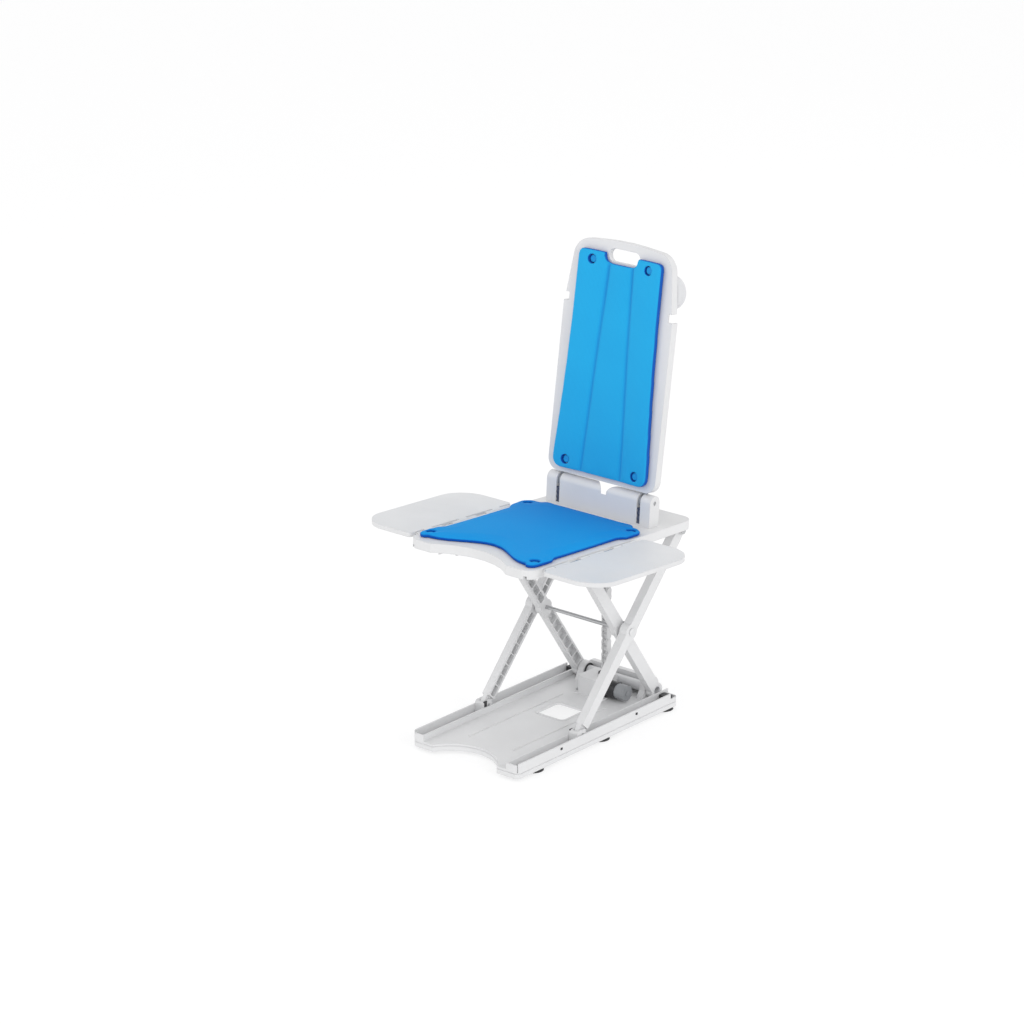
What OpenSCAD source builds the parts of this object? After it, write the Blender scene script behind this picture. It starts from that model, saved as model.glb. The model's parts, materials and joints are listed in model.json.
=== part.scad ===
// Bath lift with a scissor frame, a seat with side flaps and a folding backrest.
// Sizes in millimetres, +Z up, +Y towards the backrest, resting on six suction cups at Z = 0.

/* [Base] */
// Length of the base from front to rear
base_len = 572; // [545:1:620]
// Width over the two rails
base_w = 310; // [306:1:316]
// Height of the outer rail walls above the bath floor
rail_h = 43; // [40:1:45]
// Height of the inner rail walls above the bath floor
inner_wall_h = 40; // [36:1:41]
// Height of the pan floor above the bath floor
floor_z = 25; // [24:0.5:26]
// Height of the rail channel floor
channel_z = 22; // [20.5:0.5:22]
// Height of the lower edge of the base above the bath floor
skirt_z = 8; // [6:0.5:10]
// Wall thickness of the base
base_wall = 3.5; // [2.5:0.25:4]
// Thickness of the pan floor
pan_t = 4; // [3:0.25:5]
// Inside width of a rail channel
channel_w = 27; // [26.8:0.1:28]
// Depth of the curved cut in the front edge
cut_depth = 55; // [40:1:60]
// Chord of the curved cut in the front edge
cut_w = 188; // [160:1:200]
// Width of the window in the pan floor
window_w = 78; // [50:1:84]
// Length of the window in the pan floor
window_l = 78; // [50:1:90]
// Distance of the window behind the middle of the base
window_y = 47; // [40:1:60]
// Height of the rear wall of the pan above the bath floor
rear_wall_h = 62; // [50:1:64]
// Radius of a suction cup at its rim
cup_r = 24; // [20:0.5:26]
// Distance between neighbouring suction cups in a row
cup_pitch = 232; // [222:1:234]

/* [Drive] */
// Width of the drive housing
housing_w = 66; // [58:1:70]
// Length of the drive housing from front to rear
housing_l = 72; // [68:1:76]
// Height of the drive housing above the pan floor
housing_h = 43; // [41:0.5:44]
// Radius of the drive motor
motor_r = 20; // [16:0.5:20]
// Length of the drive motor
motor_l = 36; // [30:1:40]
// Radius of the sprocket over its teeth
sprocket_r = 16; // [14:0.25:16.5]
// Width of the thrust chain
chain_w = 17; // [14:0.5:18]
// Pitch of the thrust chain links
chain_pitch = 16; // [12:0.5:20]

/* [Lift arms] */
// Distance of the rear arm axis from the rear edge of the base
pivot_inset = 34; // [32:0.5:37]
// Height of the rear arm axis above the bath floor
pivot_z = 44; // [42:0.5:46]
// Height of the foot axis of the outer arms
foot_z = 41; // [40:0.5:42]
// Angle of the inner arms above the horizontal
inner_angle = 55.1; // [45:0.1:58]
// Inner arm from the rear axis to the crossing
inner_low = 231.6; // [228:0.2:236]
// Inner arm from the crossing to the upper slide pin
inner_high = 263.3; // [258:0.1:268]
// Outer arm from the foot pin to the crossing
outer_low = 261.3; // [257:0.1:266]
// Outer arm from the crossing to the seat pivot
outer_high = 264; // [260:0.1:268]
// Thickness of an inner arm
inner_t = 18; // [16:0.25:18.5]
// Thickness of an outer arm
outer_t = 20.5; // [18:0.25:21]
// Depth of the inner arm beam
inner_depth = 30; // [26:0.5:32]
// Depth of the outer arm beam
outer_depth = 28; // [24:0.5:30]
// Radius of the torque tube
tube_r = 12; // [11:0.25:12.5]
// Radius of the centre shaft
shaft_r = 4.5; // [3.5:0.25:5.5]

/* [Seat] */
// Distance of the seat middle ahead of the seat pivot
seat_mid = 355; // [350:1:358]
// Height of the seat plate above the seat pivot
seat_n = 28.5; // [28:0.25:30]
// Overhang of the seat plate past the base on each side
seat_side = 21; // [17:1:35]
// Front end of the seat plate ahead of its middle
seat_front = 215; // [212:1:222]
// Rear end of the seat plate behind the seat pivot
seat_rear = 17; // [16.5:0.5:25]
// Depth of the skirt round the seat plate
seat_skirt = 21; // [20:0.5:25]
// Thickness of the seat plate
seat_t = 4; // [3.5:0.25:4.25]
// Depth of the curved cut in the front edge of the seat
seat_cut = 42; // [30:1:44]
// Thickness of the seat pad
seat_pad_t = 10; // [8:0.5:14]
// Width of a side flap
flap_w = 152; // [110:1:170]
// Length of a side flap
flap_l = 350; // [330:1:370]
// Thickness of a side flap
flap_t = 10; // [10:0.5:12]
// Radius of the outer corners of a side flap
flap_r = 70; // [40:1:80]

/* [Backrest] */
// Distance of the backrest axis behind the seat middle
hinge_back = 249; // [247:1:254]
// Height of the backrest axis above the seat plate
hinge_up = 55.5; // [52:0.5:64]
// Radius of the hinge block round the backrest axis
hinge_r = 17; // [15:0.25:17]
// Lean of the backrest against the seat
back_lean = 5; // [0:0.5:10]
// Half width of the backrest at its lower edge
back_hw_low = 155; // [152:1:160]
// Half width of the backrest at its upper corners
back_hw_top = 136; // [132:1:142]
// Height of the upper corners above the backrest axis
back_h = 558; // [550:1:580]
// Rise of the arched upper edge over its corners
back_arch = 12; // [8:1:20]
// Height of the lower edge above the backrest axis
back_low = 20; // [20:0.5:24]
// Radius of the curved backrest face
back_curve = 1750; // [1400:10:2400]
// Depth of the shell behind its face in the middle
shell_depth = 13; // [12:0.5:15]
// Thickness of the shell skin
shell_t = 4; // [3:0.25:5]
// Thickness of the backrest pad
back_pad_t = 14; // [11:0.5:16]
// Length of the grip slot
slot_w = 88; // [75:1:95]
// Height of the grip slot
slot_h = 30; // [25:0.5:32]

/* [Handset] */
// Length of the handset
handset_l = 190; // [184:1:200]
// Width of the handset
handset_w = 80; // [78:1:84]
// Thickness of the handset
handset_t = 40; // [38:0.5:44]
// Sideways place of the handset middle
handset_x = 47; // [40:1:50]
// Distance of the handset middle below the upper corners of the backrest
handset_drop = 88; // [82:1:103]

/* [Clearances] */
// Radial clearance of a running bore
run_fit = 0.05; // [0.02:0.01:0.1]
// Radial clearance of a bore round a fixed pin
seat_fit = 0.02; // [0.01:0.01:0.05]
// Sideways clearance of a sliding shoe
slide_gap = 0.5; // [0.3:0.05:0.6]
// Clearance between faces that turn past each other
face_gap = 0.5; // [0.3:0.05:0.6]

/* [Hidden] */
$fn = 64;
over = 1;
white = [0.90, 0.91, 0.93];
blue = [0.16, 0.55, 0.86];
dark = [0.12, 0.12, 0.13];
steel = [0.72, 0.73, 0.75];
grey = [0.55, 0.57, 0.60];
red = [0.80, 0.10, 0.10];

base_r = 14;
base_hl = base_len / 2;
base_hw = base_w / 2;
cut_r = (cut_w * cut_w / 4 + cut_depth * cut_depth) / (2 * cut_depth);
cut_y = -base_hl + cut_depth - cut_r;
channel_x = base_hw - base_wall - channel_w / 2;
rail_in = base_hw - 2 * base_wall - channel_w;
arm_gap = 2;
inner_x = rail_in - arm_gap - inner_t / 2;
cup_x = base_hw - cup_r - base_wall / 2;
cup_y = 29;
cup_neck_r = 6;
cup_flange = 4;
cup_lip = 1;
cup_boss = 5;
cup_top = channel_z - pan_t;
rail_step = 29;
step_up = 5;
step_y = base_hl - rail_step;
step_z = floor_z + step_up;
bead_w = 5;
bead_h = 1.5;
bead_x = 62;
bead_front = 90;
bead_rear = 120;
window_r = 10;
groove_z = 18.5;
groove_h = 2;
groove_d = 1;

lug_t = 16;
lug_r = 21;
lug_ramp = 12;
wall_lap = 4;
rear_wall_r = 10;
lug_x = inner_x - inner_t / 2 - arm_gap - lug_t;
bush_t = 3;
bush_r = tube_r + bush_t;
bush_rim = 2;
bush_rim_t = 1.5;
rear_y = base_hl - pivot_inset;
rear_pivot = [rear_y, pivot_z];
crossing = rear_pivot + inner_low * [-cos(inner_angle), sin(inner_angle)];
outer_angle = asin((crossing[1] - foot_z) / outer_low);
outer_dir = [cos(outer_angle), sin(outer_angle)];
foot = crossing - outer_low * outer_dir;
top = crossing + outer_high * outer_dir;
slide = crossing + inner_high * [-cos(inner_angle), sin(inner_angle)];
tilt = atan2(slide[1] - top[1], top[0] - slide[0]);
inner_len = inner_low + inner_high;
outer_len = outer_low + outer_high;
eye_mid_r = 19;
inner_eye_r = pivot_z - floor_z - face_gap;
slide_eye_r = 9.5;
slide_tongue = 9;
foot_eye_r = 12;
foot_tongue = 10.5;
top_eye_r = 12.5;
tongue_l = 19;
pin_r = 4;
top_pin_r = 5;
top_head_t = 2;
top_head = 3;
web_t = 5;
rim = 4.5;
cell = 27;
taper = 2;
cell_r = 3;
cell_margin = 3;
tube_wall = 2.5;
shaft_end = channel_x + outer_t / 2 + face_gap;
shaft_cap_t = 2;
shaft_cap_r = 9;
pin_short = 1.5;
outer_neck = 30;

stop_l = 20;
stop_back = 12;
stop_round = 4;
stop_h = 14;
stop_w = channel_w - 2 * slide_gap;

chain_inset = 39;
chain_y = rear_y - chain_inset;
sprocket_ahead = 19;
sprocket_up = 23;
sprocket_y = chain_y - chain_w / 2 - sprocket_ahead;
sprocket_z = floor_z + sprocket_up;
sprocket_t = 8;
sprocket_teeth = 9;
tooth_h = 4;
hub_r = sprocket_r - tooth_h;
tooth_lap = 2;
tooth_foot = 3;
tooth_tip = 1;
spindle_r = 4;
spindle_deep = 14;
housing_x = -11;
housing_behind = 10;
housing_y = chain_y + chain_w / 2 + housing_behind - housing_l / 2;
housing_right = housing_x + housing_w / 2;
housing_left = housing_x - housing_w / 2;
housing_wall = 4;
housing_r = 9;
housing_top = floor_z + housing_h;
flange_t = 3;
flange_w = 14;
motor_band = 8;
motor_band_w = 4;
motor_band_d = 1;
cap_t = 26;
cap_step = 2;
cap_boss_r = 6;
mouth_gap = 1.5;
mouth = chain_w + 2 * mouth_gap;
guide_lip = 1;
collar_t = 4.5;
collar = mouth + 2 * collar_t;
collar_h = 5;
collar_r = 6;
screw_r = 4;
screw_h = 2.5;
screw_inset = 12;
socket_drop = 4;
socket_l = 9;
socket_r = 7;
socket_deep = 6;
socket_bore = 4.5;

seat_hw = base_hw + seat_side;
seat_mid_s = -seat_mid;
seat_front_s = seat_mid_s - seat_front;
seat_under = seat_n - seat_t;
seat_bottom = seat_n - seat_skirt;
seat_wall = 3.5;
seat_waist = 6;
notch_x = seat_hw - 16;
notch_w = 7;
seat_r = 30;
seat_cut_hw = 108;
seat_cut_r = (seat_cut_hw * seat_cut_hw + seat_cut * seat_cut) / (2 * seat_cut);
seat_cut_s = seat_front_s + seat_cut - seat_cut_r;
track_w = 25;
track_wall = 2;
track_slot = inner_t + 2;
track_roof = 17;
track_floor = -10.5;
track_ahead = 200;
track_behind = 55;
track_front = seat_mid_s - track_ahead;
track_bare = 60;
track_nose = 3;
track_rear = seat_mid_s + track_behind;
lug_wall = 4;
lug_gap = 1.5;
lug_eye_r = 9.5;
lug_in = channel_x - outer_t / 2 - lug_gap - lug_wall;
lug_out = channel_x + outer_t / 2 + lug_gap;
anchor_n = 19.5;
chain_s = (chain_y - top[0] - anchor_n * sin(tilt)) / cos(tilt);
anchor_hw = 13;
anchor_l = 26;
anchor_flange = 10;
anchor_flange_t = 3;
anchor_room = 2;
chain_sunk = 8;
chain_low = housing_top - chain_sunk;
chain_high = top[1] - (chain_s + chain_w) * sin(tilt) + anchor_n * cos(tilt) - face_gap;
rib_t = 2.5;
rib_h = 9;
rib_edge = 70;
rib_col = 58;
rib_count = 4;

rod_r = 3;
knuckle_r = 6;
knuckle_off = 2.5;
rod_x = seat_hw + knuckle_r + knuckle_off;
rod_n = seat_n - knuckle_r;
knuckle_l = 26;
knuckle_gap = 0.6;
knuckle_pitch = 116;
rod_hl = knuckle_pitch + 1.5 * knuckle_l + over;
flap_shift = 15;
flap_gap = 1.5;
flap_mid_s = seat_mid_s - flap_shift;
flap_in = rod_x + knuckle_r + flap_gap;
flap_out = flap_in + flap_w;
flap_wall = 3;
flap_in_r = 8;
flap_rib_up = 2;

plug_r = 9;
plug_ease = 1.5;
plug_shank_r = 5;
recess_r = 11;
recess_d = 4;
pad_front = seat_front - 19;
pad_rear = 208;
pad_hw = seat_hw - 18;
pad_ear = seat_hw - 8;
pad_ear_rear = seat_hw - 5;
seat_plug_x = seat_hw - 26;
seat_plug_s = pad_front - 29;

hinge_s = seat_mid_s + hinge_back;
hinge_n = seat_n + hinge_up;
block_hw = 150;
block_in = 112;
fork_gap = 10;
hinge_arm_t = fork_gap - 2 * face_gap;
hinge_pin_r = 5;
block_wall = 5;
sight_w = 12;
sight_x = 16;
sight_d = 3;
sight_splay = 42;
sight_fall = 25;
hinge_pin_in = 84;
hinge_pin_back = 2;

face_d = -6;
shell_rear = face_d + shell_depth;
shell_r_top = 44;
shell_r_low = 30;
notch_drop = 127;
notch_h = back_h - notch_drop;
notch_step = 4;
arch_r = 0.45 * back_hw_top * back_hw_top / back_arch;
notch_l = 19;
notch_d = 9;
slot_drop = 24;
slot_mid = back_h - slot_drop;
slot_ease = 0.5;
slot_rim = 4;
shell_rib = 3;
shell_rib_x = 58.5;
shell_rib_low = 120;
shell_rib_top = back_h - 98;
pad_border = 18;
pad_rim_low = 12;
pad_rim_top = 19;
pad_low = back_low + pad_rim_low;
pad_top = back_h - pad_rim_top;
pad_corner_top = 13;
pad_corner_low = 25;
pad_edge = 5;
pad_waist = 5;
pad_gap = 0.4;
crease_top = 32;
crease_mid = 37;
crease_low = 57;
crease_w = 7;
crease_d = 3.2;
edge_share = 0.65;
wing = 0.03;
back_plug_in = 21;
back_plug_low = [100, pad_low + back_plug_in];
back_plug_top = [80, pad_top - back_plug_in];
back_recess_d = 7;
back_shank = 6;
arm_up = 112;
arm_hw = 12;
arm_let = 6;
arm_boss = 4;
arm_boss_up = 6;
arm_heel = 5;
arm_knee = 20;

case_gap = 6;
case_d = shell_rear + case_gap;
handset_h = back_h - handset_drop;
case_wall = 2.5;
case_r = 11;
holder_t = 3;
holder_lip = 9;
holder_hw = 50;
holder_top = 8;
ledge_hw = 46;
post_x = 40;
post_hw = 3;
post_low = 12;
post_high = 20;
holder_screw_x = 30;
holder_screw_drop = 25;
holder_screw_r = 2;
button_r = 9;
button_gap = 0.4;
button_out = 2.2;
button_pitch = 46;
stop_r = 12;
button_foot = 1.5;
button_in = 3;
button_flange = 2.5;
battery_end = 34;
battery_side = 14;
battery_out = 4;
inlet_r = 5;
inlet_out = 5;
inlet_in = 14;
inlet_bore = 3;
inlet_deep = 9;

function unit(v) = v / norm(v);

// Arc points that round the corner v between its neighbours p and q
function corner(p, v, q, r, n) =
  let(a = unit(p - v), b = unit(q - v), half = acos(a * b) / 2)
  let(c = v + unit(a + b) * r / sin(half), s = v + a * r / tan(half), e = v + b * r / tan(half))
  let(from = atan2(s[1] - c[1], s[0] - c[0]), raw = atan2(e[1] - c[1], e[0] - c[0]) - from)
  let(sweep = raw > 180 ? raw - 360 : raw < -180 ? raw + 360 : raw)
  [for (i = [0:n]) c + r * [cos(from + sweep * i / n), sin(from + sweep * i / n)]];

// Outline of a polygon whose corners [x, y, radius] are rounded
function rounded(list, n = 10) =
  [for (i = [0:len(list) - 1])
    let(m = len(list), p = list[(i + m - 1) % m], v = list[i], q = list[(i + 1) % m])
    each v[2] == 0 ? [[v[0], v[1]]] : corner([p[0], p[1]], [v[0], v[1]], [q[0], q[1]], v[2], n)];

function box_outline(x0, y0, x1, y1, r) = rounded([[x0, y0, r], [x1, y0, r], [x1, y1, r], [x0, y1, r]]);

// Rearmost point, on the rounded edge of the handset; the middle of the overall box is moved to the origin
lean = tilt + back_lean;
hinge_y = top[0] + hinge_s * cos(tilt) + hinge_n * sin(tilt);
rear_end = hinge_y + (case_d + handset_t - case_r) * cos(lean)
  + (handset_h + handset_w / 2 - case_r) * sin(lean) + case_r;
frame_y = (base_hl - rear_end) / 2;

module in_frame() {
  translate([0, frame_y, 0])
    children();
}

module at(p) {
  translate([0, p[0], p[1]])
    children();
}

module in_seat() {
  in_frame()
    at(top)
      rotate([-tilt, 0, 0])
        children();
}

module in_back() {
  in_seat()
    at([hinge_s, hinge_n])
      rotate([-back_lean, 0, 0])
        children();
}

// Plate in the side view from x0 with thickness t
module side(x0, t) {
  translate([x0, 0, 0])
    rotate([90, 0, 90])
      linear_extrude(height = t)
        children();
}

// Plate in the front view from y0 with thickness t towards the rear
module front(y0, t) {
  translate([0, y0 + t, 0])
    rotate([90, 0, 0])
      linear_extrude(height = t)
        children();
}

// Plate in the top view from z0 with thickness t
module flat(z0, t) {
  translate([0, 0, z0])
    linear_extrude(height = t)
      children();
}

module rod(x0, x1, r) {
  translate([x0, 0, 0])
    rotate([0, 90, 0])
      cylinder(h = x1 - x0, r = r);
}

module box(x0, y0, z0, x1, y1, z1) {
  translate([x0, y0, z0])
    cube([x1 - x0, y1 - y0, z1 - z0]);
}

module both() {
  children();
  mirror([1, 0, 0])
    children();
}

module base_outline(inset) {
  polygon(box_outline(-base_hw + inset, -base_hl + inset, base_hw - inset, base_hl - inset, base_r - inset));
}

module front_cut(r) {
  translate([0, cut_y, -over])
    cylinder(h = rail_h + 2 * over, r = r, $fn = 128);
}

module window(grow, z0, z1) {
  flat(z0, z1 - z0)
    polygon(box_outline(-window_w / 2 - grow, window_y - window_l / 2 - grow, window_w / 2 + grow,
      window_y + window_l / 2 + grow, window_r + grow));
}

module cup_places() {
  both()
    for (i = [-1:1])
      translate([cup_x, cup_y + i * cup_pitch, 0])
        children();
}

module pan_floor() {
  difference() {
    flat(skirt_z, floor_z - skirt_z)
      base_outline(0);
    front_cut(cut_r);
    difference() {
      flat(skirt_z - over, floor_z - pan_t - skirt_z + over)
        base_outline(base_wall);
      front_cut(cut_r + base_wall);
      both()
        box(rail_in, -base_hl, cup_top, base_hw, base_hl, floor_z);
      cup_places()
        cylinder(h = cup_top, r = cup_neck_r + cup_boss);
    }
  }
}

module rail_walls() {
  intersection() {
    flat(cup_top, rail_h)
      base_outline(0);
    both()
      union() {
        box(base_hw - base_wall, -base_hl, cup_top, base_hw, step_y, rail_h);
        box(base_hw - base_wall, -base_hl, cup_top, base_hw, base_hl, step_z);
        box(rail_in, -base_hl, cup_top, rail_in + base_wall, base_hl, inner_wall_h);
        box(rail_in, -base_hl, cup_top, base_hw, -base_hl + base_wall, inner_wall_h);
        box(rail_in, base_hl - base_wall, cup_top, base_hw, base_hl, step_z);
      }
  }
}

module bearing_lugs() {
  both()
    union() {
      at(rear_pivot)
        rod(lug_x, lug_x + lug_t, lug_r);
      side(lug_x, lug_t)
        polygon([[rear_y - lug_r - lug_ramp, floor_z - over], [rear_y - lug_r, pivot_z],
          [rear_y + lug_r, pivot_z], [rear_y + lug_r, floor_z - over]]);
    }
}

module rear_wall() {
  wall_hw = lug_x + lug_t;
  front(rear_y + lug_r - wall_lap, base_hl - rear_y - lug_r)
    polygon(rounded([[-wall_hw, floor_z - over, 0], [wall_hw, floor_z - over, 0],
      [wall_hw, rear_wall_h, rear_wall_r], [-wall_hw, rear_wall_h, rear_wall_r]]));
}

module base_pan() {
  color(white)
    in_frame()
      difference() {
        union() {
          pan_floor();
          rail_walls();
          bearing_lugs();
          rear_wall();
          both()
            box(bead_x, -base_hl + bead_front, floor_z - over, bead_x + bead_w, rear_y - bead_rear,
              floor_z + bead_h);
          difference() {
            window(bead_w, floor_z - over, floor_z + bead_h);
            window(0, 0, rail_h);
          }
        }
        both()
          box(rail_in + base_wall, -base_hl + base_wall, channel_z, base_hw - base_wall, base_hl - base_wall,
            floor_z + over);
        window(0, 0, rail_h);
        at(rear_pivot)
          rod(-inner_x, inner_x, bush_r + seat_fit);
        cup_places()
          translate([0, 0, skirt_z - over])
            cylinder(h = cup_top - skirt_z + over, r = cup_neck_r + seat_fit);
        housing_screw_places()
          cylinder(h = floor_z + over, r = screw_r / 2 + seat_fit);
        difference() {
          flat(groove_z, groove_h)
            base_outline(-over);
          difference() {
            flat(groove_z - over, groove_h + 2 * over)
              base_outline(groove_d);
            front_cut(cut_r + groove_d);
          }
        }
      }
}

module suction_cups() {
  color(dark)
    in_frame()
      cup_places()
        difference() {
          union() {
            cylinder(h = skirt_z - cup_lip, r1 = cup_r, r2 = cup_neck_r + cup_flange);
            cylinder(h = skirt_z, r = cup_neck_r + cup_flange);
            cylinder(h = cup_top, r = cup_neck_r);
          }
          translate([0, 0, -over])
            cylinder(h = skirt_z - 2 * cup_lip, r1 = cup_r, r2 = cup_neck_r);
        }
}

module bearing_bushes() {
  color(dark)
    in_frame()
      at(rear_pivot)
        both()
          difference() {
            union() {
              rod(lug_x, lug_x + lug_t, bush_r);
              rod(lug_x - bush_rim_t, lug_x, bush_r + bush_rim);
            }
            rod(lug_x - 2 * over, lug_x + lug_t + over, tube_r + run_fit);
          }
}

module end_stops() {
  color(dark)
    in_frame()
      both()
        translate([channel_x, base_hl - base_wall - slide_gap - stop_l / 2 - stop_back, 0])
          flat(channel_z, stop_h)
            polygon(box_outline(-stop_w / 2, -stop_l / 2, stop_w / 2, stop_l / 2, stop_round));
}

module housing_screw_places() {
  dx = (housing_w + flange_w) / 2;
  dy = housing_l / 2 - screw_inset;
  for (p = [[-1, -1], [1, -1], [-1, 1], [1, 1]])
    translate([housing_x + p[0] * dx, housing_y + p[1] * dy, 0])
      children();
}

module drive_housing() {
  color(white)
    in_frame()
      difference() {
        union() {
          flat(floor_z, housing_h)
            polygon(box_outline(housing_left, housing_y - housing_l / 2, housing_right,
              housing_y + housing_l / 2, housing_r));
          flat(floor_z, flange_t)
            polygon(box_outline(housing_left - flange_w, housing_y - housing_l / 2, housing_right + flange_w,
              housing_y + housing_l / 2, housing_r));
        }
        box(-mouth, housing_y - housing_l / 2 + housing_wall, floor_z + flange_t, mouth,
          housing_y + housing_l / 2 - housing_wall, sprocket_z + sprocket_r + face_gap);
        box(-mouth / 2, chain_y - mouth / 2, floor_z + flange_t, mouth / 2, chain_y + mouth / 2,
          housing_top + over);
        at([sprocket_y, sprocket_z])
          rod(housing_left + housing_wall, housing_right + over, spindle_r + run_fit);
        housing_screw_places()
          cylinder(h = housing_top, r = screw_r / 2 + seat_fit);
      }
}

module drive_motor() {
  color(dark)
    in_frame()
      at([sprocket_y, sprocket_z])
        difference() {
          rod(housing_right, housing_right + motor_l, motor_r);
          difference() {
            rod(housing_right + motor_band, housing_right + motor_band + motor_band_w, motor_r + over);
            rod(housing_right, housing_right + motor_l, motor_r - motor_band_d);
          }
          rod(housing_right - over, housing_right + spindle_deep, spindle_r + run_fit);
        }
}

module motor_cap() {
  color(grey)
    in_frame()
      at([sprocket_y, sprocket_z])
        union() {
          rod(housing_right + motor_l, housing_right + motor_l + cap_t, motor_r - cap_step);
          rod(housing_right + motor_l + cap_t, housing_right + motor_l + cap_t + cap_step, cap_boss_r);
        }
}

module drive_sprocket() {
  color(steel)
    in_frame()
      at([sprocket_y, sprocket_z])
        difference() {
          union() {
            rod(-sprocket_t / 2, sprocket_t / 2, hub_r);
            for (i = [0:sprocket_teeth - 1])
              rotate([i * 360 / sprocket_teeth, 0, 0])
                side(-sprocket_t / 4, sprocket_t / 2)
                  polygon([[-tooth_foot, hub_r - tooth_lap], [tooth_foot, hub_r - tooth_lap],
                    [tooth_tip, sprocket_r], [-tooth_tip, sprocket_r]]);
          }
          rod(-sprocket_t, sprocket_t, spindle_r + seat_fit);
        }
}

module sprocket_shaft() {
  color(steel)
    in_frame()
      at([sprocket_y, sprocket_z])
        rod(housing_left + housing_wall + over, housing_right + spindle_deep - over, spindle_r);
}

module chain_guide() {
  color(dark)
    in_frame()
      translate([0, chain_y, 0])
        difference() {
          flat(housing_top, collar_h)
            polygon(box_outline(-collar / 2, -collar / 2, collar / 2, collar / 2, collar_r));
          box(guide_lip - mouth / 2, guide_lip - mouth / 2, housing_top - over, mouth / 2 - guide_lip,
            mouth / 2 - guide_lip, housing_top + collar_h + over);
        }
}

module housing_screws() {
  color(steel)
    in_frame()
      housing_screw_places()
        union() {
          translate([0, 0, floor_z + flange_t])
            cylinder(h = screw_h, r = screw_r);
          translate([0, 0, floor_z - pan_t])
            cylinder(h = pan_t + flange_t + over, r = screw_r / 2);
        }
}

module lead_socket() {
  color(dark)
    in_frame()
      at([sprocket_y, sprocket_z - socket_drop])
        difference() {
          rod(housing_left - socket_l, housing_left, socket_r);
          rod(housing_left - socket_l - over, housing_left - socket_l + socket_deep, socket_bore);
        }
}

// Link plates with waisted edges stand on both sides of the rollers
chain_links = floor((chain_high - chain_low) / chain_pitch);
chain_step = (chain_high - chain_low) / chain_links;
chain_t = 4;
chain_waist = 1.2;
roller_r = 5;
roller_lap = 0.5;

function chain_edge(k) = chain_w / 2 - chain_waist * (1 - cos(k * 180)) / 2;

module thrust_chain() {
  color(white)
    in_frame()
      translate([0, chain_y, chain_low])
        union() {
          both()
            side(chain_w / 2 - chain_t, chain_t)
              polygon(concat(
                [for (k = [0:2 * chain_links]) [-chain_edge(k), k * chain_step / 2]],
                [for (k = [2 * chain_links:-1:0]) [chain_edge(k), k * chain_step / 2]]));
          for (k = [0:chain_links - 1])
            translate([0, 0, (k + 0.5) * chain_step])
              rod(-chain_w / 2 + chain_t - roller_lap, chain_w / 2 - chain_t + roller_lap, roller_r);
        }
}

module inner_beam() {
  half = inner_depth / 2;
  side(inner_x - inner_t / 2, inner_t)
    polygon([[0, -half], [inner_low, -half], [inner_len - tongue_l, -half + taper],
      [inner_len - tongue_l, half - taper], [inner_low, half], [0, half]]);
}

// Open cells on the inward face of an arm between a0 and a1 along it
module cells(a0, a1, half, x0, depth) {
  count = floor((a1 - a0) / cell);
  step = (a1 - a0) / count;
  for (i = [0:count - 1])
    side(x0 - over, depth + over)
      polygon(box_outline(a0 + i * step + rib_t / 2, -half, a0 + (i + 1) * step - rib_t / 2, half, cell_r));
}

module inner_arm() {
  half = inner_depth / 2;
  in_frame()
    at(rear_pivot)
      rotate([180 - inner_angle, 0, 0])
        difference() {
          union() {
            inner_beam();
            rod(inner_x - inner_t / 2, inner_x + inner_t / 2, inner_eye_r);
            translate([0, inner_low, 0])
              rod(inner_x - inner_t / 2, inner_x + inner_t / 2, eye_mid_r);
            translate([0, inner_len, 0])
              rod(inner_x - slide_tongue / 2, inner_x + slide_tongue / 2, slide_eye_r);
            box(inner_x - slide_tongue / 2, inner_len - tongue_l - over, -slide_eye_r,
              inner_x + slide_tongue / 2, inner_len, slide_eye_r);
          }
          rod(0, base_hw, tube_r + seat_fit);
          translate([0, inner_low, 0])
            rod(0, base_hw, shaft_r + seat_fit);
          translate([0, inner_len, 0])
            rod(0, base_hw, pin_r + seat_fit);
          cells(inner_eye_r + cell_margin, inner_low - eye_mid_r - cell_margin, half - rim,
            inner_x - inner_t / 2, inner_t - web_t);
          cells(inner_low + eye_mid_r + cell_margin, inner_len - tongue_l - cell_margin, half - rim - taper,
            inner_x - inner_t / 2, inner_t - web_t);
        }
}

module right_inner_arm() {
  color(white)
    inner_arm();
}

module left_inner_arm() {
  color(white)
    mirror([1, 0, 0])
      inner_arm();
}

module torque_tube() {
  color(steel)
    in_frame()
      at(rear_pivot)
        difference() {
          rod(-inner_x - inner_t / 2, inner_x + inner_t / 2, tube_r);
          rod(-inner_x - inner_t, inner_x + inner_t, tube_r - tube_wall);
        }
}

module centre_shaft() {
  color(steel)
    in_frame()
      at(crossing)
        rod(-shaft_end, shaft_end, shaft_r);
}

module shaft_caps() {
  color(white)
    in_frame()
      at(crossing)
        both()
          rod(shaft_end, shaft_end + shaft_cap_t, shaft_cap_r);
}

module upper_slide_pins() {
  color(steel)
    in_frame()
      at(slide)
        both()
          rod(inner_x - track_w / 2 + pin_short, inner_x + track_w / 2 - pin_short, pin_r);
}

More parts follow.
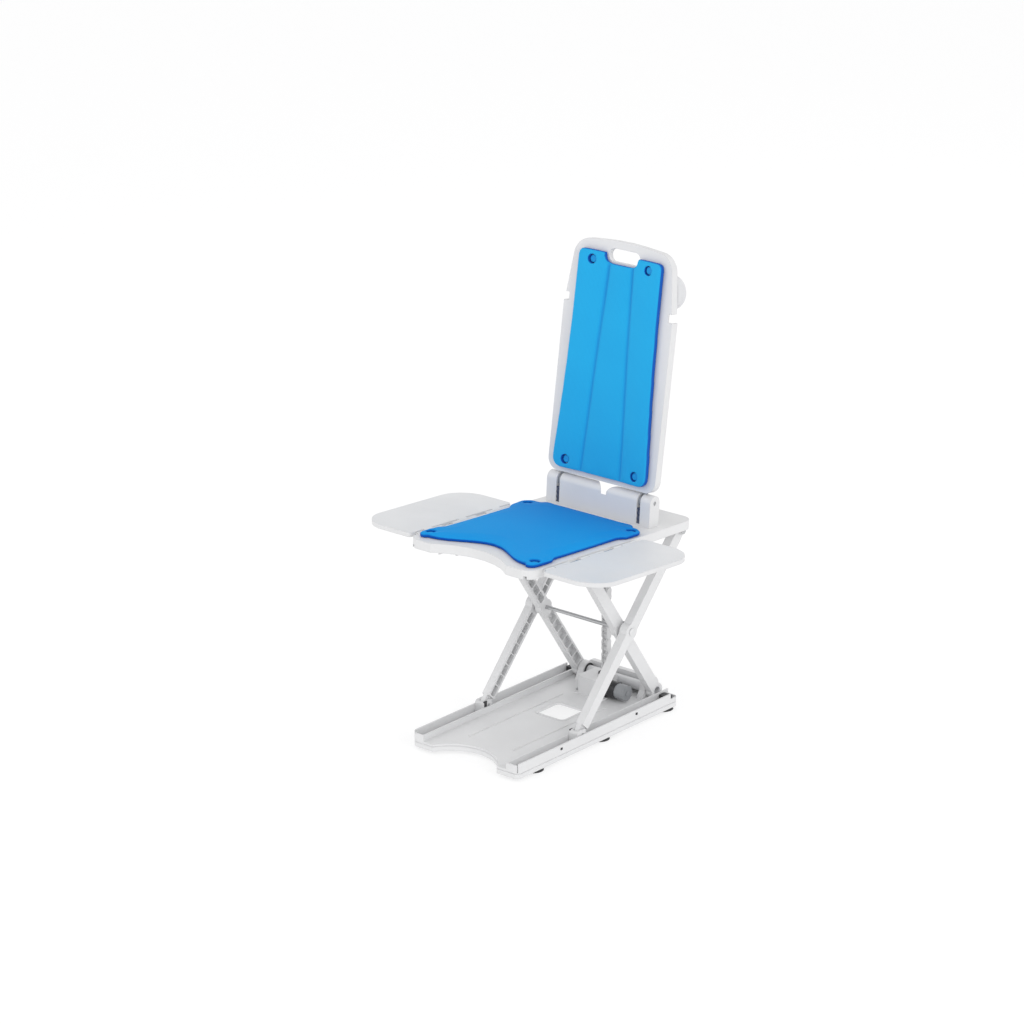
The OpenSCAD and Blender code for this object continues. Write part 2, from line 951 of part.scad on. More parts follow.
module outer_arm() {
  half = outer_depth / 2;
  x0 = channel_x - outer_t / 2;
  in_frame()
    at(foot)
      rotate([outer_angle, 0, 0])
        difference() {
          union() {
            side(x0, outer_t)
              polygon([[tongue_l, -half + taper], [outer_low, -half], [outer_len - outer_neck, -half],
                [outer_len, -top_eye_r], [outer_len, top_eye_r], [outer_len - outer_neck, half],
                [outer_low, half], [tongue_l, half - taper]]);
            rod(channel_x - foot_tongue / 2, channel_x + foot_tongue / 2, foot_eye_r);
            box(channel_x - foot_tongue / 2, 0, -foot_eye_r, channel_x + foot_tongue / 2, tongue_l + over,
              foot_eye_r);
            translate([0, outer_low, 0])
              rod(x0, x0 + outer_t, eye_mid_r);
            translate([0, outer_len, 0])
              rod(x0, x0 + outer_t, top_eye_r);
          }
          rod(0, base_w, pin_r + seat_fit);
          translate([0, outer_low, 0])
            rod(0, base_w, shaft_r + run_fit);
          translate([0, outer_len, 0])
            rod(0, base_w, top_pin_r + run_fit);
          cells(tongue_l + cell_margin, outer_low - eye_mid_r - cell_margin, half - rim - taper, x0,
            outer_t - web_t);
          cells(outer_low + eye_mid_r + cell_margin, outer_len - top_eye_r - cell_margin,
            half - rim - taper, x0, outer_t - web_t);
        }
}

module right_outer_arm() {
  color(white)
    outer_arm();
}

module left_outer_arm() {
  color(white)
    mirror([1, 0, 0])
      outer_arm();
}

module foot_pins() {
  color(steel)
    in_frame()
      at(foot)
        both()
          rod(channel_x - channel_w / 2 + pin_short, channel_x + channel_w / 2 - pin_short, pin_r);
}

shoe_hw = channel_w / 2 - slide_gap;
shoe_lift = 0.3;
shoe_low = channel_z + shoe_lift - foot_z;
shoe_low_r = 3;
shoe_tail_r = 5;
shoe_nose_r = 8;
shoe_high = 12;
shoe_nose = 18;
shoe_tail = 12;
glide_t = 3;
glide_in = 2;
glide_w = 10;

module lower_shoe() {
  in_frame()
    at(foot)
      difference() {
        side(channel_x - shoe_hw, 2 * shoe_hw)
          polygon(rounded([[-shoe_nose, shoe_low, shoe_low_r], [shoe_tail, shoe_low, shoe_low_r],
            [shoe_tail, shoe_high, shoe_tail_r], [-shoe_nose, shoe_high, shoe_nose_r]]));
        box(channel_x - foot_tongue / 2 - face_gap, -foot_eye_r - over, -foot_eye_r - over,
          channel_x + foot_tongue / 2 + face_gap, shoe_tail + over, shoe_high + over);
        rod(0, base_w, pin_r + run_fit);
        glide(seat_fit);
      }
}

// Dark glide let into the inward cheek of a lower shoe
module glide(grow) {
  x0 = channel_x - shoe_hw;
  y0 = glide_in - shoe_nose;
  box(x0 - grow, y0 - grow, shoe_low - grow, x0 + glide_t + grow, y0 + glide_w + grow, shoe_high + grow);
}

module shoe_glides() {
  color(dark)
    in_frame()
      at(foot)
        both()
          glide(0);
}

module right_lower_shoe() {
  color(white)
    lower_shoe();
}

module left_lower_shoe() {
  color(white)
    mirror([1, 0, 0])
      lower_shoe();
}

upper_hw = track_w / 2 - slide_gap;
upper_lift = 3.4;
upper_drop = 0.4;
upper_low = track_floor + upper_lift;
upper_high = track_roof - upper_drop;
upper_low_r = 2;
upper_top_r = 4;
upper_hl = 14;

module upper_shoe() {
  in_frame()
    at(slide)
      rotate([-tilt, 0, 0])
        difference() {
          side(inner_x - upper_hw, 2 * upper_hw)
            polygon(rounded([[-upper_hl, upper_low, upper_low_r], [upper_hl, upper_low, upper_low_r],
              [upper_hl, upper_high, upper_top_r], [-upper_hl, upper_high, upper_top_r]]));
          box(inner_x - slide_tongue / 2 - face_gap, -slide_eye_r - over, upper_low - over,
            inner_x + slide_tongue / 2 + face_gap, upper_hl + over, slide_eye_r + over);
          rod(0, base_w, pin_r + run_fit);
        }
}

module right_upper_shoe() {
  color(dark)
    upper_shoe();
}

module left_upper_shoe() {
  color(dark)
    mirror([1, 0, 0])
      upper_shoe();
}

module seat_outline(inset) {
  polygon(rounded([[-seat_hw + inset, seat_front_s + inset, seat_r - inset],
    [seat_hw - inset, seat_front_s + inset, seat_r - inset],
    [seat_hw - inset, seat_mid_s + pad_rear, 0],
    [seat_hw - inset - seat_waist, seat_rear - inset, seat_r - inset],
    [-seat_hw + inset + seat_waist, seat_rear - inset, seat_r - inset],
    [-seat_hw + inset, seat_mid_s + pad_rear, 0]]));
}

module seat_cutter(r) {
  translate([0, seat_cut_s, -seat_n])
    cylinder(h = 3 * seat_n, r = r, $fn = 128);
}

module flap_knuckles() {
  for (i = [-1:1])
    translate([rod_x, flap_mid_s + i * knuckle_pitch - knuckle_l / 2, rod_n])
      rotate([-90, 0, 0])
        cylinder(h = knuckle_l, r = knuckle_r);
}

module seat_knuckles() {
  both()
    union() {
      for (i = [-1:1], e = [-1, 1]) {
        y0 = flap_mid_s + i * knuckle_pitch + e * (knuckle_l + knuckle_gap) - knuckle_l / 2;
        translate([rod_x, y0, rod_n])
          rotate([-90, 0, 0])
            cylinder(h = knuckle_l, r = knuckle_r);
        box(seat_hw - seat_wall, y0, rod_n - knuckle_r, rod_x, y0 + knuckle_l, rod_n);
      }
    }
}

module seat_tracks() {
  both()
    difference() {
      box(inner_x - track_w / 2 - track_wall, track_front, track_floor - track_wall,
        inner_x + track_w / 2 + track_wall, track_rear, seat_under + over);
      box(inner_x - track_w / 2, track_front - over, track_floor, inner_x + track_w / 2, track_rear + over,
        track_roof);
      box(inner_x - track_slot / 2, track_front - over, track_floor - track_wall - over,
        inner_x + track_slot / 2, track_rear + over, track_roof);
      box(inner_x - track_w, track_front - over, track_floor - 2 * track_wall, inner_x + track_w,
        track_front + track_bare, track_nose);
    }
}

module seat_lugs() {
  both()
    for (x = [lug_in, lug_out])
      union() {
        rod(x, x + lug_wall, lug_eye_r);
        box(x, -lug_eye_r, 0, x + lug_wall, lug_eye_r, seat_under + over);
      }
}

module seat_ribs() {
  x1 = inner_x - track_w / 2 - track_wall;
  first = seat_front_s + rib_edge;
  last = seat_mid_s + pad_rear - rib_t;
  room_x = anchor_hw + anchor_flange + anchor_room;
  room_s = anchor_l / 2 + anchor_room;
  difference() {
    union() {
      for (i = [0:rib_count])
        translate([0, first + (last - first) * i / rib_count, 0])
          box(-x1, 0, seat_under - rib_h, x1, rib_t, seat_under + over);
      for (i = [-1:1])
        box(i * rib_col - rib_t / 2, first, seat_under - rib_h, i * rib_col + rib_t / 2, last + rib_t,
          seat_under + over);
    }
    box(-room_x, chain_s - room_s, seat_under - 2 * rib_h, room_x, chain_s + room_s, seat_under);
  }
}

module seat_plate() {
  color(white)
    in_seat()
      difference() {
        union() {
          difference() {
            flat(seat_bottom, seat_skirt)
              seat_outline(0);
            seat_cutter(seat_cut_r);
            difference() {
              flat(seat_bottom - over, seat_skirt - seat_t + over)
                seat_outline(seat_wall);
              seat_cutter(seat_cut_r + seat_wall);
            }
          }
          seat_ribs();
          seat_tracks();
          seat_lugs();
          seat_knuckles();
        }
        rod(-seat_hw + 2 * seat_wall, seat_hw - 2 * seat_wall, top_pin_r + seat_fit);
        both()
          translate([rod_x, flap_mid_s - flap_l, rod_n])
            rotate([-90, 0, 0])
              cylinder(h = 2 * flap_l, r = rod_r + seat_fit);
        both()
          for (s = [-1, 1])
            translate([seat_plug_x, seat_mid_s + s * seat_plug_s, 0])
              cylinder(h = seat_n + over, r = plug_shank_r + seat_fit);
        both()
          box(notch_x - notch_w / 2, seat_front_s - over, seat_bottom - over, notch_x + notch_w / 2,
            seat_front_s + 4 * seat_wall, seat_bottom + notch_w);
      }
}

// Outline of the seat pad with ears at its corners and a curved front edge
pad_steps = 14;
pad_step = 9;
pad_base = pad_front - pad_step;
pad_mid = 130;
pad_dip = pad_base - pad_mid;
pad_cut = seat_plug_x - 18;
pad_cut_ends = 6;
ear_side = 9;
ear_lead = 3;
ear_s = seat_plug_s - 38;
ear_run = 17;
ear_end = seat_plug_s + 23;
ear_neck = 16;
ear_slope = 8;
ear_r = 24;
ear_front_r = 19;
ear_tip_r = 12;
ear_in_r = 5;
ear_lead_r = 8;
function pad_cut_s(x) = -pad_base + pad_dip * pow(cos(90 * x / (pad_cut + pad_cut_ends)), 2);
pad_right = rounded([
  [pad_cut, pad_cut_s(pad_cut), 0],
  [seat_plug_x - ear_side, -pad_base, ear_in_r],
  [seat_plug_x - ear_lead, -pad_front, ear_lead_r],
  [pad_ear, -pad_front, ear_front_r],
  [pad_ear, -ear_s, ear_r],
  [pad_hw, ear_run - ear_s, ear_r],
  [pad_hw, ear_s - ear_run, ear_r],
  [pad_ear_rear, ear_s, ear_r],
  [pad_ear_rear, ear_end, ear_r],
  [seat_plug_x - ear_neck, ear_end, ear_tip_r],
  [seat_plug_x - ear_neck - ear_slope, pad_rear, ear_tip_r],
  [0, pad_rear, 0]], 4);
pad_count = len(pad_right);
seat_pad_outline = concat(
  [for (i = [1:pad_steps - 1]) let(x = -pad_cut + 2 * pad_cut * i / pad_steps) [x, pad_cut_s(x)]],
  pad_right,
  [for (i = [pad_count - 2:-1:0]) [-pad_right[i][0], pad_right[i][1]]]);

// Scale of a pad ring and its height as a share of the pad thickness
seat_rings = [[0.99, 0], [0.998, 0.15], [1, 0.4], [0.999, 0.68], [0.994, 0.86], [0.982, 0.95], [0.95, 1],
  [0.8, 1.05], [0.6, 1.1], [0.35, 1.14]];

module ring_pad(outline, rings, t) {
  n = len(outline);
  m = len(rings);
  peak = rings[m - 1][1] * t;
  points = concat([for (r = rings, p = outline) [p[0] * r[0], p[1] * r[0], r[1] * t]],
    [[0, 0, 0], [0, 0, peak]]);
  faces = concat(
    [for (k = [0:m - 2], i = [0:n - 1]) let(j = (i + 1) % n) [k * n + i, (k + 1) * n + i, (k + 1) * n + j]],
    [for (k = [0:m - 2], i = [0:n - 1]) let(j = (i + 1) % n) [k * n + i, (k + 1) * n + j, k * n + j]],
    [for (i = [0:n - 1]) [n * m, i, (i + 1) % n]],
    [for (i = [0:n - 1]) [n * m + 1, (m - 1) * n + (i + 1) % n, (m - 1) * n + i]]);
  polyhedron(points = points, faces = faces);
}

module seat_pad() {
  color(blue)
    in_seat()
      difference() {
        translate([0, seat_mid_s, seat_n])
          ring_pad(seat_pad_outline, seat_rings, seat_pad_t);
        both()
          for (s = [-1, 1])
            translate([seat_plug_x, seat_mid_s + s * seat_plug_s, seat_n - over])
              cylinder(h = 2 * seat_pad_t, r = recess_r);
      }
}

// Plug with an eased head of height h on a shank of length l below it
module plug(h, l) {
  cylinder(h = h - plug_ease, r = plug_r);
  translate([0, 0, h - plug_ease])
    cylinder(h = plug_ease, r1 = plug_r, r2 = plug_r - plug_ease);
  translate([0, 0, -l])
    cylinder(h = l + over, r = plug_shank_r);
}

module seat_plugs() {
  color(blue)
    in_seat()
      both()
        for (s = [-1, 1])
          translate([seat_plug_x, seat_mid_s + s * seat_plug_s, seat_n + seat_fit])
            plug(seat_pad_t - recess_d, seat_t);
}

arc_steps = 24;
pocket_pitch = 72;
pocket_hw = 32;
pocket_wall = 9;

module block_profile() {
  polygon(concat([[hinge_s - hinge_r, seat_n], [hinge_s + hinge_r, seat_n]],
    [for (i = [0:arc_steps]) let(a = 180 * i / arc_steps)
      [hinge_s + hinge_r * cos(a), hinge_n + hinge_r * sin(a)]]));
}

module sight_notch() {
  near = hinge_s - hinge_r - over;
  far = hinge_s + hinge_r + over;
  low = hinge_n - sight_d;
  high = hinge_n + 2 * hinge_r;
  intersection() {
    flat(low - sight_fall, high - low + sight_fall)
      polygon([[sight_x - sight_w / 2, near], [sight_x + sight_w / 2, near],
        [sight_x + sight_w / 2 + sight_splay, far], [sight_x - sight_w / 2 - sight_splay, far]]);
    side(-block_in, 2 * block_in)
      polygon([[near, low], [far, low - sight_fall], [far, high], [near, high]]);
  }
}

module hinge_block() {
  color(white)
    in_seat()
      difference() {
        union() {
          side(-block_in, 2 * block_in)
            block_profile();
          both()
            side(block_in + fork_gap, block_hw - block_in - fork_gap)
              block_profile();
          box(-block_hw, hinge_s - hinge_r, seat_n, block_hw, hinge_s + hinge_r, seat_n + block_wall);
        }
        at([hinge_s, hinge_n])
          both()
            rod(hinge_pin_in - over, block_hw + over, hinge_pin_r + seat_fit);
        sight_notch();
        for (i = [-1:1])
          box(i * pocket_pitch - pocket_hw, hinge_s - hinge_r + pocket_wall, seat_n + 2 * block_wall,
            i * pocket_pitch + pocket_hw, hinge_s + hinge_r + over, hinge_n - hinge_pin_r - block_wall);
      }
}

module hinge_pins() {
  color(steel)
    in_seat()
      at([hinge_s, hinge_n])
        both()
          rod(hinge_pin_in, block_hw - hinge_pin_back, hinge_pin_r);
}

module rear_pins() {
  color(steel)
    in_seat()
      both()
        union() {
          rod(lug_in - over, lug_out + lug_wall, top_pin_r);
          rod(lug_out + lug_wall, lug_out + lug_wall + top_head_t, top_pin_r + top_head);
        }
}

module flap_rods() {
  color(steel)
    in_seat()
      both()
        translate([rod_x, flap_mid_s - rod_hl, rod_n])
          rotate([-90, 0, 0])
            cylinder(h = 2 * rod_hl, r = rod_r);
}

module chain_anchor() {
  color(grey)
    in_seat()
      union() {
        box(-anchor_hw, chain_s - anchor_l / 2, anchor_n, anchor_hw, chain_s + anchor_l / 2, seat_under);
        box(-anchor_hw - anchor_flange, chain_s - anchor_l / 2, seat_under - anchor_flange_t,
          anchor_hw + anchor_flange, chain_s + anchor_l / 2, seat_under);
      }
}

module flap_outline(inset) {
  polygon(rounded([[flap_in + inset, flap_mid_s - flap_l / 2 + inset, flap_in_r],
    [flap_out - inset, flap_mid_s - flap_l / 2 + inset, flap_r - inset],
    [flap_out - inset, flap_mid_s + flap_l / 2 - inset, flap_r - inset],
    [flap_in + inset, flap_mid_s + flap_l / 2 - inset, flap_in_r]], 16));
}

module flap() {
  in_seat()
    difference() {
      union() {
        difference() {
          flat(seat_n - flap_t, flap_t)
            flap_outline(0);
          flat(seat_n - flap_t - over, flap_t - flap_wall + over)
            flap_outline(flap_wall);
        }
        intersection() {
          flat(seat_n - flap_t + flap_rib_up, flap_t - flap_rib_up)
            flap_outline(0);
          union() {
            for (i = [-1:1])
              translate([0, flap_mid_s + i * flap_l / 4, 0])
                box(flap_in, -rib_t / 2, 0, flap_out, rib_t / 2, seat_n);
            translate([flap_in + flap_w / 2, flap_mid_s, 0])
              box(0, -flap_l, 0, rib_t, flap_l, seat_n);
          }
        }
        flap_knuckles();
        for (i = [-1:1])
          box(rod_x, flap_mid_s + i * knuckle_pitch - knuckle_l / 2, rod_n - over, flap_in + flap_wall,
            flap_mid_s + i * knuckle_pitch + knuckle_l / 2, rod_n + knuckle_r);
      }
      translate([rod_x, flap_mid_s - flap_l, rod_n])
        rotate([-90, 0, 0])
          cylinder(h = 2 * flap_l, r = rod_r + run_fit);
    }
}

module right_flap() {
  color(white)
    flap();
}

module left_flap() {
  color(white)
    mirror([1, 0, 0])
      flap();
}

module back_outline(inset) {
  polygon(rounded([[-back_hw_low + inset, back_low + inset, shell_r_low - inset],
    [back_hw_low - inset, back_low + inset, shell_r_low - inset],
    [back_hw_low - inset, notch_h, 0],
    [back_hw_low - inset - notch_step, notch_h, 0],
    [back_hw_top - inset, back_h - inset, shell_r_top - inset],
    [0, back_h + back_arch - inset, arch_r],
    [-back_hw_top + inset, back_h - inset, shell_r_top - inset],
    [-back_hw_low + inset + notch_step, notch_h, 0],
    [-back_hw_low + inset, notch_h, 0]], 12));
}

module slot_outline(grow) {
  polygon(box_outline(-slot_w / 2 - grow, slot_mid - slot_h / 2 - grow, slot_w / 2 + grow,
    slot_mid + slot_h / 2 + grow, slot_h / 2 + grow - slot_ease));
}

module face_cylinder(r) {
  translate([0, face_d - back_curve, -back_low])
    cylinder(h = back_h + 3 * back_arch, r = r, $fn = 256);
}

wing_depth = back_hw_low * back_hw_low / (2 * back_curve) + 2;

module back_shell() {
  color(white)
    in_back()
      difference() {
        union() {
          difference() {
            front(face_d - wing_depth, shell_depth + wing_depth)
              back_outline(0);
            difference() {
              front(face_d - wing_depth, shell_depth + wing_depth + over)
                back_outline(shell_t);
              face_cylinder(back_curve + shell_t);
            }
          }
          difference() {
            intersection() {
              front(face_d - wing_depth, shell_depth + wing_depth - 1)
                back_outline(shell_t / 2);
              union() {
                for (i = [-2:2])
                  translate([i * shell_rib_x, 0, 0])
                    box(-shell_rib / 2, face_d - wing_depth, 0, shell_rib / 2, shell_rear,
                      back_h + back_arch);
                for (i = [0:4])
                  translate([0, 0, shell_rib_low + (shell_rib_top - shell_rib_low) * i / 4])
                    box(-back_hw_low, face_d - wing_depth, 0, back_hw_low, shell_rear, shell_rib);
              }
            }
            face_cylinder(back_curve + shell_t / 2);
          }
          intersection() {
            front(face_d - wing_depth, shell_depth + wing_depth)
              slot_outline(slot_rim);
            front(face_d - wing_depth, shell_depth + wing_depth)
              back_outline(0);
          }
          both()
            box(block_in - arm_boss, face_d, back_low, block_in + fork_gap + arm_boss, shell_rear,
              arm_up + arm_boss_up);
        }
        face_cylinder(back_curve);
        front(face_d - 2 * wing_depth, shell_depth + 4 * wing_depth)
          slot_outline(0);
        both()
          box(back_hw_low - notch_d - notch_step, face_d - 2 * wing_depth, notch_h - notch_l,
            back_hw_low + over, shell_rear + over, notch_h);
        both()
          for (p = [back_plug_low, back_plug_top])
            translate([p[0], face_d - 2 * wing_depth, p[1]])
              rotate([-90, 0, 0])
                cylinder(h = 4 * wing_depth, r = plug_shank_r + seat_fit);
        both()
          box(block_in + face_gap, shell_rear - arm_let, 0, block_in + fork_gap - face_gap, shell_rear + over,
            arm_up + seat_fit);
      }
}

// The back pad is a grid of columns across and rows up its height
pad_rows = 26;
pad_cols = 22;

function pad_up(h) = (h - pad_low) / (pad_top - pad_low);
function pad_side(h) =
  back_hw_low - pad_border + (back_hw_top - back_hw_low) * pad_up(h) - pad_waist * sin(180 * pad_up(h));
function pad_round(e, c) = e >= c ? 0 : c - sqrt(c * c - (c - e) * (c - e));
function pad_h(j) = (pad_low + pad_top) / 2 - (pad_top - pad_low) / 2 * cos(180 * j / pad_rows);
function pad_half(h) =
  pad_side(h) - pad_round(h - pad_low, pad_corner_low) - pad_round(pad_top - h, pad_corner_top);
function pad_u(i) = -cos(180 * i / pad_cols);
function crease_at(h) = h > notch_h
  ? crease_mid + (crease_top - crease_mid) * (h - notch_h) / (pad_top - notch_h)
  : crease_low + (crease_mid - crease_low) * (h - pad_low) / (notch_h - pad_low);
function pad_crease(x, h) = let(g = (abs(x) - crease_at(h)) / crease_w) crease_d / (1 + g * g * g * g);
function pad_wing(x, h) = max(0, abs(x) - crease_at(h)) * wing;
function pad_soft(e) =
  e >= pad_edge ? 1 : edge_share + (1 - edge_share) * sqrt(1 - (1 - e / pad_edge) * (1 - e / pad_edge));
function face_at(x) = face_d + back_curve - sqrt(back_curve * back_curve - x * x) - x * x / back_curve;
function pad_front_d(x, h) =
  let(e = min(pad_half(h) - abs(x), h - pad_low, pad_top - h))
  face_at(x) - pad_gap - (back_pad_t + pad_wing(x, h) - pad_crease(x, h)) * pad_soft(max(e, 0));

module back_pad_solid() {
  c = pad_cols + 1;
  r = pad_rows + 1;
  grid = [for (j = [0:pad_rows], i = [0:pad_cols]) [pad_half(pad_h(j)) * pad_u(i), pad_h(j)]];
  points = concat([for (p = grid) [p[0], pad_front_d(p[0], p[1]), p[1]]],
    [for (p = grid) [p[0], face_at(p[0]) - pad_gap, p[1]]]);
  n = c * r;
  faces = concat(
    [for (j = [0:pad_rows - 1], i = [0:pad_cols - 1], e = [0, 1]) let(a = j * c + i)
      e == 0 ? [a, a + c + 1, a + 1] : [a, a + c, a + c + 1]],
    [for (j = [0:pad_rows - 1], i = [0:pad_cols - 1], e = [0, 1]) let(a = n + j * c + i)
      e == 0 ? [a, a + 1, a + c + 1] : [a, a + c + 1, a + c]],
    [for (j = [0:pad_rows - 1], e = [0, 1]) let(a = j * c)
      e == 0 ? [a, a + n + c, a + c] : [a, a + n, a + n + c]],
    [for (j = [0:pad_rows - 1], e = [0, 1]) let(a = j * c + pad_cols)
      e == 0 ? [a, a + c, a + n + c] : [a, a + n + c, a + n]],
    [for (i = [0:pad_cols - 1], e = [0, 1]) e == 0 ? [i, i + 1, i + n + 1] : [i, i + n + 1, i + n]],
    [for (i = [0:pad_cols - 1], e = [0, 1]) let(a = pad_rows * c + i)
      e == 0 ? [a, a + n + 1, a + 1] : [a, a + n, a + n + 1]]);
  polyhedron(points = points, faces = faces);
}

module back_pad() {
  color(blue)
    in_back()
      difference() {
        back_pad_solid();
        front(face_d - 3 * wing_depth, 4 * wing_depth)
          slot_outline(slot_rim - 1);
        both()
          for (p = [back_plug_low, back_plug_top])
            translate([p[0], face_d - 3 * wing_depth, p[1]])
              rotate([-90, 0, 0])
                cylinder(h = 4 * wing_depth, r = recess_r);
      }
}

module back_plugs() {
  color(blue)
    in_back()
      both()
        for (p = [back_plug_low, back_plug_top]) {
          foot_d = face_at(p[0] + plug_r) - seat_fit;
          translate([p[0], foot_d, p[1]])
            rotate([90, 0, 0])
              plug(foot_d - pad_front_d(p[0], p[1]) - back_recess_d, shell_t + back_shank);
        }
}

module hinge_arm() {
  in_back()
    difference() {
      union() {
        rod(block_in + face_gap, block_in + fork_gap - face_gap, arm_hw);
        side(block_in + face_gap, hinge_arm_t)
          polygon([[-arm_heel, 0], [arm_hw, 0], [shell_rear, back_low + arm_knee], [shell_rear, arm_up],
            [shell_rear - arm_let, arm_up], [shell_rear - arm_let, back_low]]);
      }
      rod(0, block_hw, hinge_pin_r + run_fit);
    }
}

module right_hinge_arm() {
  color(grey)
    hinge_arm();
}

module left_hinge_arm() {
  color(grey)
    mirror([1, 0, 0])
      hinge_arm();
}

// Half of a rounded case with its open side at d = 0 and its face towards +d
module pill(l, w, t, r) {
  profile = rounded([[0, 0, 0], [w / 2, 0, 0], [w / 2, t, r], [0, t, 0]], 8);
  union() {
    for (e = [-1, 1])
      translate([e * (l - w) / 2, 0, 0])
        rotate([-90, 0, 0])
          rotate_extrude(convexity = 4)
            polygon(profile);
    side(-(l - w) / 2, l - w)
      polygon(concat([for (p = profile) [p[1], p[0]]],
        [for (i = [len(profile) - 1:-1:0]) [profile[i][1], -profile[i][0]]]));
  }
}

module handset_place() {
  in_back()
    translate([handset_x, case_d + handset_t / 2, handset_h])
      children();
}

module handset_front() {
  color(white)
    handset_place()
      mirror([0, 1, 0])
        difference() {
          pill(handset_l, handset_w, handset_t / 2, case_r);
          translate([0, -over, 0])
            pill(handset_l - 2 * case_wall, handset_w - 2 * case_wall, handset_t / 2 - case_wall + over,
              case_r - case_wall);
          rod(-handset_l, 0, inlet_r + seat_fit);
        }
}

module handset_rear() {
  color(white)
    handset_place()
      difference() {
        pill(handset_l, handset_w, handset_t / 2, case_r);
        translate([0, -over, 0])
          pill(handset_l - 2 * case_wall, handset_w - 2 * case_wall, handset_t / 2 - case_wall + over,
            case_r - case_wall);
        for (i = [0:2])
          translate([(i - 1) * button_pitch, 0, 0])
            rotate([-90, 0, 0])
              cylinder(h = handset_t, r = (i == 2 ? stop_r : button_r) + button_gap);
        rod(-handset_l, 0, inlet_r + seat_fit);
      }
}

module battery_pack() {
  color(dark)
    handset_place()
      box(battery_end - handset_l / 2, case_wall - handset_t / 2, battery_side - handset_w / 2,
        handset_l / 2 - battery_end, battery_out, handset_w / 2 - battery_side);
}

module lead_inlet() {
  color(dark)
    handset_place()
      difference() {
        rod(-handset_l / 2 - inlet_out, inlet_in - handset_l / 2, inlet_r);
        rod(-handset_l, inlet_deep - inlet_out - handset_l / 2, inlet_bore);
      }
}

module button(i, r) {
  handset_place()
    translate([(i - 1) * button_pitch, handset_t / 2 - case_wall - button_in, 0])
      rotate([-90, 0, 0])
        union() {
          cylinder(h = case_wall + button_in + button_out, r = r);
          cylinder(h = button_foot, r = r + button_flange);
        }
}

module up_button() {
  color(blue)
    button(0, button_r);
}

module down_button() {
  color(blue)
    button(1, button_r);
}

module stop_button() {
  color(red)
    button(2, stop_r);
}

module handset_holder() {
  low = handset_h - handset_w / 2 - face_gap;
  lip_d = case_d + handset_t + face_gap;
  color(white)
    in_back()
      translate([handset_x, 0, 0])
        difference() {
          union() {
            box(-holder_hw, shell_rear, low - holder_t, holder_hw, shell_rear + holder_t,
              handset_h + handset_w / 2 - holder_top);
            box(-ledge_hw, shell_rear, low - holder_t, ledge_hw, lip_d + holder_t, low);
            box(-ledge_hw, lip_d, low - holder_t, ledge_hw, lip_d + holder_t, low + holder_lip);
            for (x = [-post_x, post_x])
              box(x - post_hw, shell_rear, handset_h - post_low, x + post_hw, case_d - pad_gap,
                handset_h + post_high);
          }
          for (x = [-holder_screw_x, holder_screw_x])
            translate([x, 0, handset_h - holder_screw_drop])
              rotate([-90, 0, 0])
                cylinder(h = shell_rear + holder_t + over, r = holder_screw_r);
        }
}

base_pan();
suction_cups();
bearing_bushes();
end_stops();
drive_housing();
drive_motor();
motor_cap();
drive_sprocket();
sprocket_shaft();
chain_guide();
housing_screws();
lead_socket();
thrust_chain();
left_inner_arm();
right_inner_arm();
torque_tube();
centre_shaft();
shaft_caps();
upper_slide_pins();
left_outer_arm();
right_outer_arm();
foot_pins();
left_lower_shoe();
right_lower_shoe();
shoe_glides();
left_upper_shoe();
right_upper_shoe();
seat_plate();
seat_pad();
seat_plugs();
hinge_block();
hinge_pins();
rear_pins();
flap_rods();
chain_anchor();
left_flap();
right_flap();
back_shell();
back_pad();
back_plugs();
left_hinge_arm();
right_hinge_arm();
handset_holder();
handset_front();
handset_rear();
battery_pack();
lead_inlet();
up_button();
down_button();
stop_button();
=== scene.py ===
import json
import math
import bpy
import bmesh
from mathutils import Matrix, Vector
import numpy as np


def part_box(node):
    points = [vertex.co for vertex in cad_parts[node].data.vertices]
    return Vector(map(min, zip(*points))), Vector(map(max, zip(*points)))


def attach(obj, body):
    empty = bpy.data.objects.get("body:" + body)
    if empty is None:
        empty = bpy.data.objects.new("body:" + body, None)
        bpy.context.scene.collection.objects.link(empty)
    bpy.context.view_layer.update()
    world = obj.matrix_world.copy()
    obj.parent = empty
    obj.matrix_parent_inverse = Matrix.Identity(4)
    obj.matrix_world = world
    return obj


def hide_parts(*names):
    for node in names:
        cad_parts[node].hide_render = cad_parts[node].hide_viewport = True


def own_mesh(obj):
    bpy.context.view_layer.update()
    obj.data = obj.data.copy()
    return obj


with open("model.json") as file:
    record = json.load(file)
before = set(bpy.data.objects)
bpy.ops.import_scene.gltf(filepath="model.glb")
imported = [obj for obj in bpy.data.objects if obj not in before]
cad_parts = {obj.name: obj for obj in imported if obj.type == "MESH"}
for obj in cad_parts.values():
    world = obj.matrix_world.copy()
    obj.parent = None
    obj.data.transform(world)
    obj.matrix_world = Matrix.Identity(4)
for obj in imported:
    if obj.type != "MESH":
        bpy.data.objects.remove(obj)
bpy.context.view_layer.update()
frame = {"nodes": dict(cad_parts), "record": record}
cadNodes = frame["nodes"]
joints = {joint["name"]: joint for joint in frame["record"]["behaviour"]["joints"]}
print("frame loaded:", len(cadNodes), "nodes")

# The seat turns about its rear pin and tips by the line from that pin to the slide pin in front.
# The back turns on its hinge and leans a little further.
backLean = 5.0  # degrees from the seat
seatPivot = np.array(joints["seat_tilt"]["pos_m"])
slidePin = np.array(joints["upper_shoe_turn"]["pos_m"])
backPivot = np.array(joints["back_recline"]["pos_m"])
seatTilt = math.atan2(slidePin[2] - seatPivot[2], seatPivot[1] - slidePin[1])
seatPlace = (seatPivot, seatTilt)
backPlace = (backPivot, seatTilt + math.radians(backLean))


